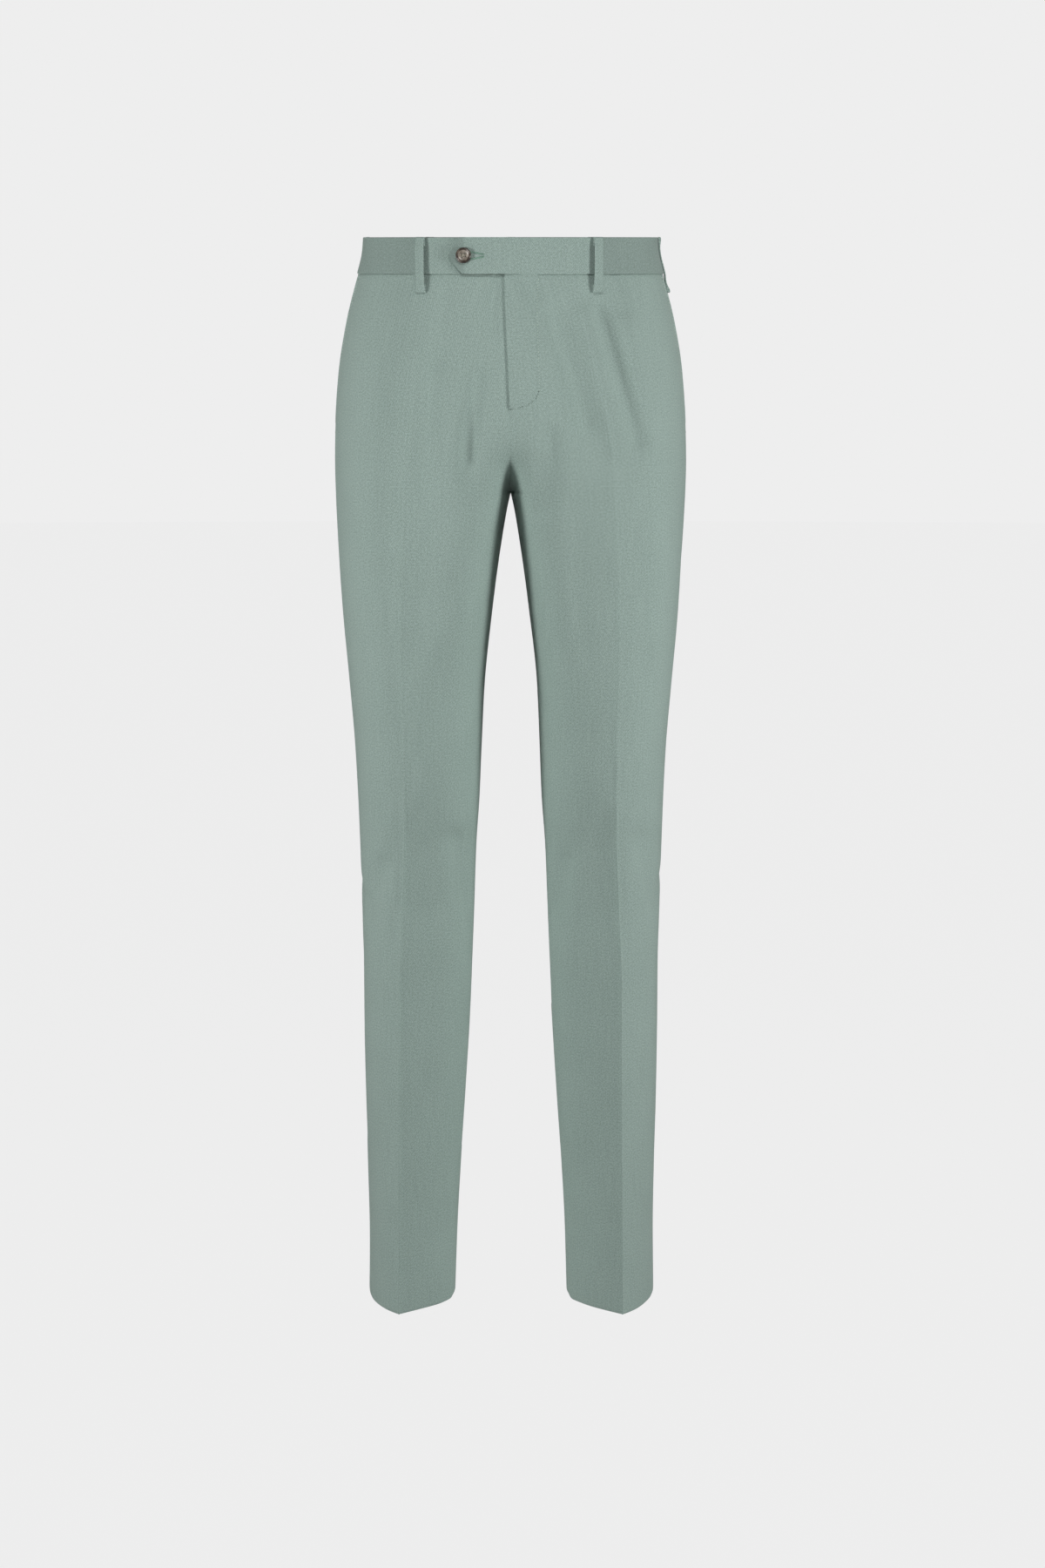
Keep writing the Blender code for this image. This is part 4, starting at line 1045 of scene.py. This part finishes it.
waistButton = {
    "x": 43.1, "holeRing": 2.0, "hole": 0.85, "steps": 48, "dish": 4.8, "stand": 0.3, "threadReach": 1.05,
    "threadShift": 0.28, "threadLevel": 1.72, "threadHalf": (1.25, 0.24, 0.28),
    # profile of the upper side: radius and height
    "profile": ((0, 0), (6.1, 0), (6.9, 0.4), (7.3, 1.2), (7.2, 2.1), (6.8, 2.65), (6.2, 2.8), (5.6, 2.65),
                (5.0, 2.1), (4.4, 1.7), (3.0, 1.52), (0, 1.5)),
}


def tabPlace():
    middle = -body["bandHeight"] / 2
    z = np.array([middle])
    u = stepAlong(1, z, 0.0, -waistButton["x"])
    point, normal = skin(1, z, u, body["bandProud"] + waistband["tabRaise"])
    return Vector(point[0]), Vector(normal[0])


def makeButton():
    bm = bmesh.new()
    verts = [bm.verts.new((r, 0, h)) for r, h in waistButton["profile"]]
    edges = [bm.edges.new(two) for two in zip(verts, verts[1:])]
    bmesh.ops.spin(bm, geom=verts + edges, cent=(0, 0, 0), axis=(0, 0, 1), angle=2 * math.pi,
                   steps=waistButton["steps"], use_merge=True)
    bmesh.ops.remove_doubles(bm, verts=bm.verts, dist=0.01)
    bmesh.ops.recalc_face_normals(bm, faces=bm.faces)
    made = meshObject("waistButton", bm)
    for k in range(4):
        angle = math.pi / 4 + k * math.pi / 2
        drill = bmesh.new()
        bmesh.ops.create_cone(drill, cap_ends=True, segments=16, radius1=waistButton["hole"],
                              radius2=waistButton["hole"], depth=9)
        bmesh.ops.translate(drill, verts=drill.verts, vec=(
            math.cos(angle) * waistButton["holeRing"], math.sin(angle) * waistButton["holeRing"], 0))
        hole = meshObject("hole", drill)
        cut = made.modifiers.new("hole", "BOOLEAN")
        cut.object = hole
        bpy.context.view_layer.update()
        evaluated = made.evaluated_get(bpy.context.evaluated_depsgraph_get())
        cutMesh = bpy.data.meshes.new_from_object(evaluated)
        made.modifiers.clear()
        made.data = cutMesh
        bpy.data.objects.remove(hole)
    centre, normal = tabPlace()
    turn = Vector((0, 0, 1)).rotation_difference(normal).to_matrix().to_4x4()
    place = Matrix.Translation((centre + normal * waistButton["stand"]) * mm) @ turn @ Matrix.Scale(mm, 4)
    made.data.materials.clear()
    made.data.materials.append(polishedHorn("polished dark horn", "#241d19", "#3d332c", "#6e6358"))
    # the dish takes paler colours than the rim
    made.data.materials.append(polishedHorn("horn of the dish", "#5a5148", "#7d756a", "#a8a095"))
    for face in made.data.polygons:
        face.material_index = int(face.center.xy.length < waistButton["dish"] and face.center.z > 1)
    made.data.transform(place)
    made.data.shade_smooth()
    made.data.set_sharp_from_angle(angle=math.radians(40))
    finishPiece(made, "button")
    return place


buttonPlace = makeButton()


# two strands run from the middle of the dish to each hole
def buttonThread():
    length, width, height = waistButton["threadHalf"]
    bm = bmesh.new()
    for k in range(4):
        angle = math.pi / 4 + k * math.pi / 2
        for shift in (-waistButton["threadShift"], waistButton["threadShift"]):
            along = Vector((math.cos(angle), math.sin(angle), 0))
            side = Vector((-math.sin(angle), math.cos(angle), 0))
            out = Matrix((along * length, side * width, Vector((0, 0, height)))).transposed().to_4x4()
            out.translation = along * waistButton["threadReach"] + side * shift
            out.translation.z += waistButton["threadLevel"]
            bmesh.ops.create_icosphere(bm, subdivisions=2, radius=1, matrix=buttonPlace @ out)
    made = meshObject("buttonThread", bm, spunThread("button thread", "#b9b5a6", "#8b8778"))
    made.data.shade_smooth()
    return finishPiece(made, None)


buttonThread()

buttonhole = {
    "near": -37.0, "far": -24.0, "eye": 2.6, "slit": 0.8, "pitch": 0.62, "length": 2.0, "thick": 0.5,
    "stand": 0.12, "lean": 0.25,
}


# worked stitches round a slit that opens to an eye under the button
def makeButtonhole():
    middle = -body["bandHeight"] / 2
    x = np.arange(buttonhole["near"], buttonhole["far"], buttonhole["pitch"])
    share = (x - buttonhole["near"]) / (buttonhole["far"] - buttonhole["near"])
    half = buttonhole["eye"] * (1 - share) ** 0.8 + buttonhole["slit"]
    places = np.array([(a, middle + s * h) for s in (1, -1) for a, h in zip(x, half)])
    u = stepAlong(1, places[:, 1], 0.0, places[:, 0])
    stand = body["bandProud"] + waistband["tabRaise"] + buttonhole["stand"]
    points, normals = skin(1, places[:, 1], u, stand)
    lean = np.repeat([[buttonhole["lean"], 0, 1.0], [buttonhole["lean"], 0, -1.0]], len(x), axis=0)
    return stitchBeads("buttonhole", points, normals, lean, buttonhole["length"], buttonhole["thick"],
                       spunThread("buttonhole gimp thread", "#8fb3a0", "#5c8672"))


buttonholePiece = makeButtonhole()
print("button and stitching made")


studio = {
    "backdrop": "#eeeeee", "roomLow": 0.32, "roomHigh": 0.52, "floor": "#dddddd", "floorLevel": -1.55,
    "floorLit": 0.985,
    # name, place, what it points at, width, height, power
    "lights": (
        ("front light", (0, -1.7, 1.3), (0, 0, -0.45), 0.7, 0.4, 17),
        ("left light", (-1.45, -0.88, -0.25), (0, 0, -0.36), 0.35, 0.5, 19),
        ("right light", (1.45, -0.88, -0.25), (0, 0, -0.36), 0.35, 0.5, 21),
        ("back light", (0, 2.8, 1.2), (0, 0, -0.4), 1.6, 1.0, 45),
    ),
    "camera": (0.0116, -2.6, -0.189), "pitch": 82.5, "lens": 60.84,
}


def makeStudio():
    scene = bpy.context.scene
    world = bpy.data.worlds.new("pale studio")
    scene.world = world
    world.use_nodes = True
    # the pale backdrop is what shows, and a dimmer, upward-brighter room lights the cloth
    tree = world.node_tree
    room = tree.nodes["Background"]
    heading = addNode(tree, "ShaderNodeTexCoord").outputs["Generated"]
    height = addNode(tree, "ShaderNodeSeparateXYZ", links={"Vector": heading}).outputs["Z"]
    glow = addNode(tree, "ShaderNodeMapRange", {
        "From Min": -0.6, "From Max": 0.9, "To Min": studio["roomLow"], "To Max": studio["roomHigh"],
    }, {"Value": height})
    tree.links.new(glow.outputs["Result"], room.inputs["Strength"])
    shown = addNode(tree, "ShaderNodeBackground", {"Color": linear(studio["backdrop"])})
    seen = addNode(tree, "ShaderNodeLightPath").outputs["Is Camera Ray"]
    both = addNode(tree, "ShaderNodeMixShader", links={0: seen, 1: room.outputs[0], 2: shown.outputs[0]})
    tree.links.new(both.outputs[0], tree.nodes["World Output"].inputs["Surface"])
    bm = bmesh.new()
    bmesh.ops.create_circle(bm, cap_ends=True, segments=64, radius=40)
    mesh = bpy.data.meshes.new("studioFloor")
    bm.to_mesh(mesh)
    bm.free()
    mesh.transform(Matrix.Translation((0, 0, studio["floorLevel"])))
    made, tree, shader = startMaterial("matt painted floor", {"Roughness": 0.9, "Specular IOR Level": 0.1})
    place = addNode(tree, "ShaderNodeTexCoord").outputs["Object"]
    faint = addNode(tree, "ShaderNodeTexNoise", {"Scale": 2.0, "Detail": 2.0}, {"Vector": place})
    colour = ramp(tree, faint.outputs["Fac"], [(0.2, linear("#f1f1f1")), (0.8, linear(studio["floor"]))])
    tree.links.new(colour.outputs["Color"], shader.inputs["Base Color"])
    # overlit, as a backdrop is, so that it runs into the wall behind without an edge
    lit = addNode(tree, "ShaderNodeEmission", {"Color": linear(studio["backdrop"])})
    seen = addNode(tree, "ShaderNodeLightPath").outputs["Is Camera Ray"]
    share = addNode(tree, "ShaderNodeMath", {"operation": "MULTIPLY", 1: studio["floorLit"]}, {0: seen})
    both = addNode(tree, "ShaderNodeMixShader", links={
        0: share.outputs["Value"], 1: shader.outputs[0], 2: lit.outputs[0]})
    tree.links.new(both.outputs[0], tree.nodes["Material Output"].inputs["Surface"])
    mesh.materials.append(made)
    floor = bpy.data.objects.new("studioFloor", mesh)
    scene.collection.objects.link(floor)
    for name, place, aim, width, height, power in studio["lights"]:
        data = bpy.data.lights.new(name, "AREA")
        data.shape = "RECTANGLE"
        data.size = width
        data.size_y = height
        data.energy = power
        light = bpy.data.objects.new(name, data)
        light.location = place
        light.rotation_euler = (Vector(aim) - Vector(place)).to_track_quat("-Z", "Y").to_euler()
        scene.collection.objects.link(light)
    data = bpy.data.cameras.new("camera")
    data.sensor_fit = "AUTO"
    data.sensor_width = 36
    data.lens = studio["lens"]
    camera = bpy.data.objects.new("camera", data)
    camera.location = studio["camera"]
    camera.rotation_euler = (math.radians(studio["pitch"]), 0, 0)
    scene.collection.objects.link(camera)
    scene.camera = camera
    scene.view_settings.view_transform = "Standard"


makeStudio()
print("scene ready")
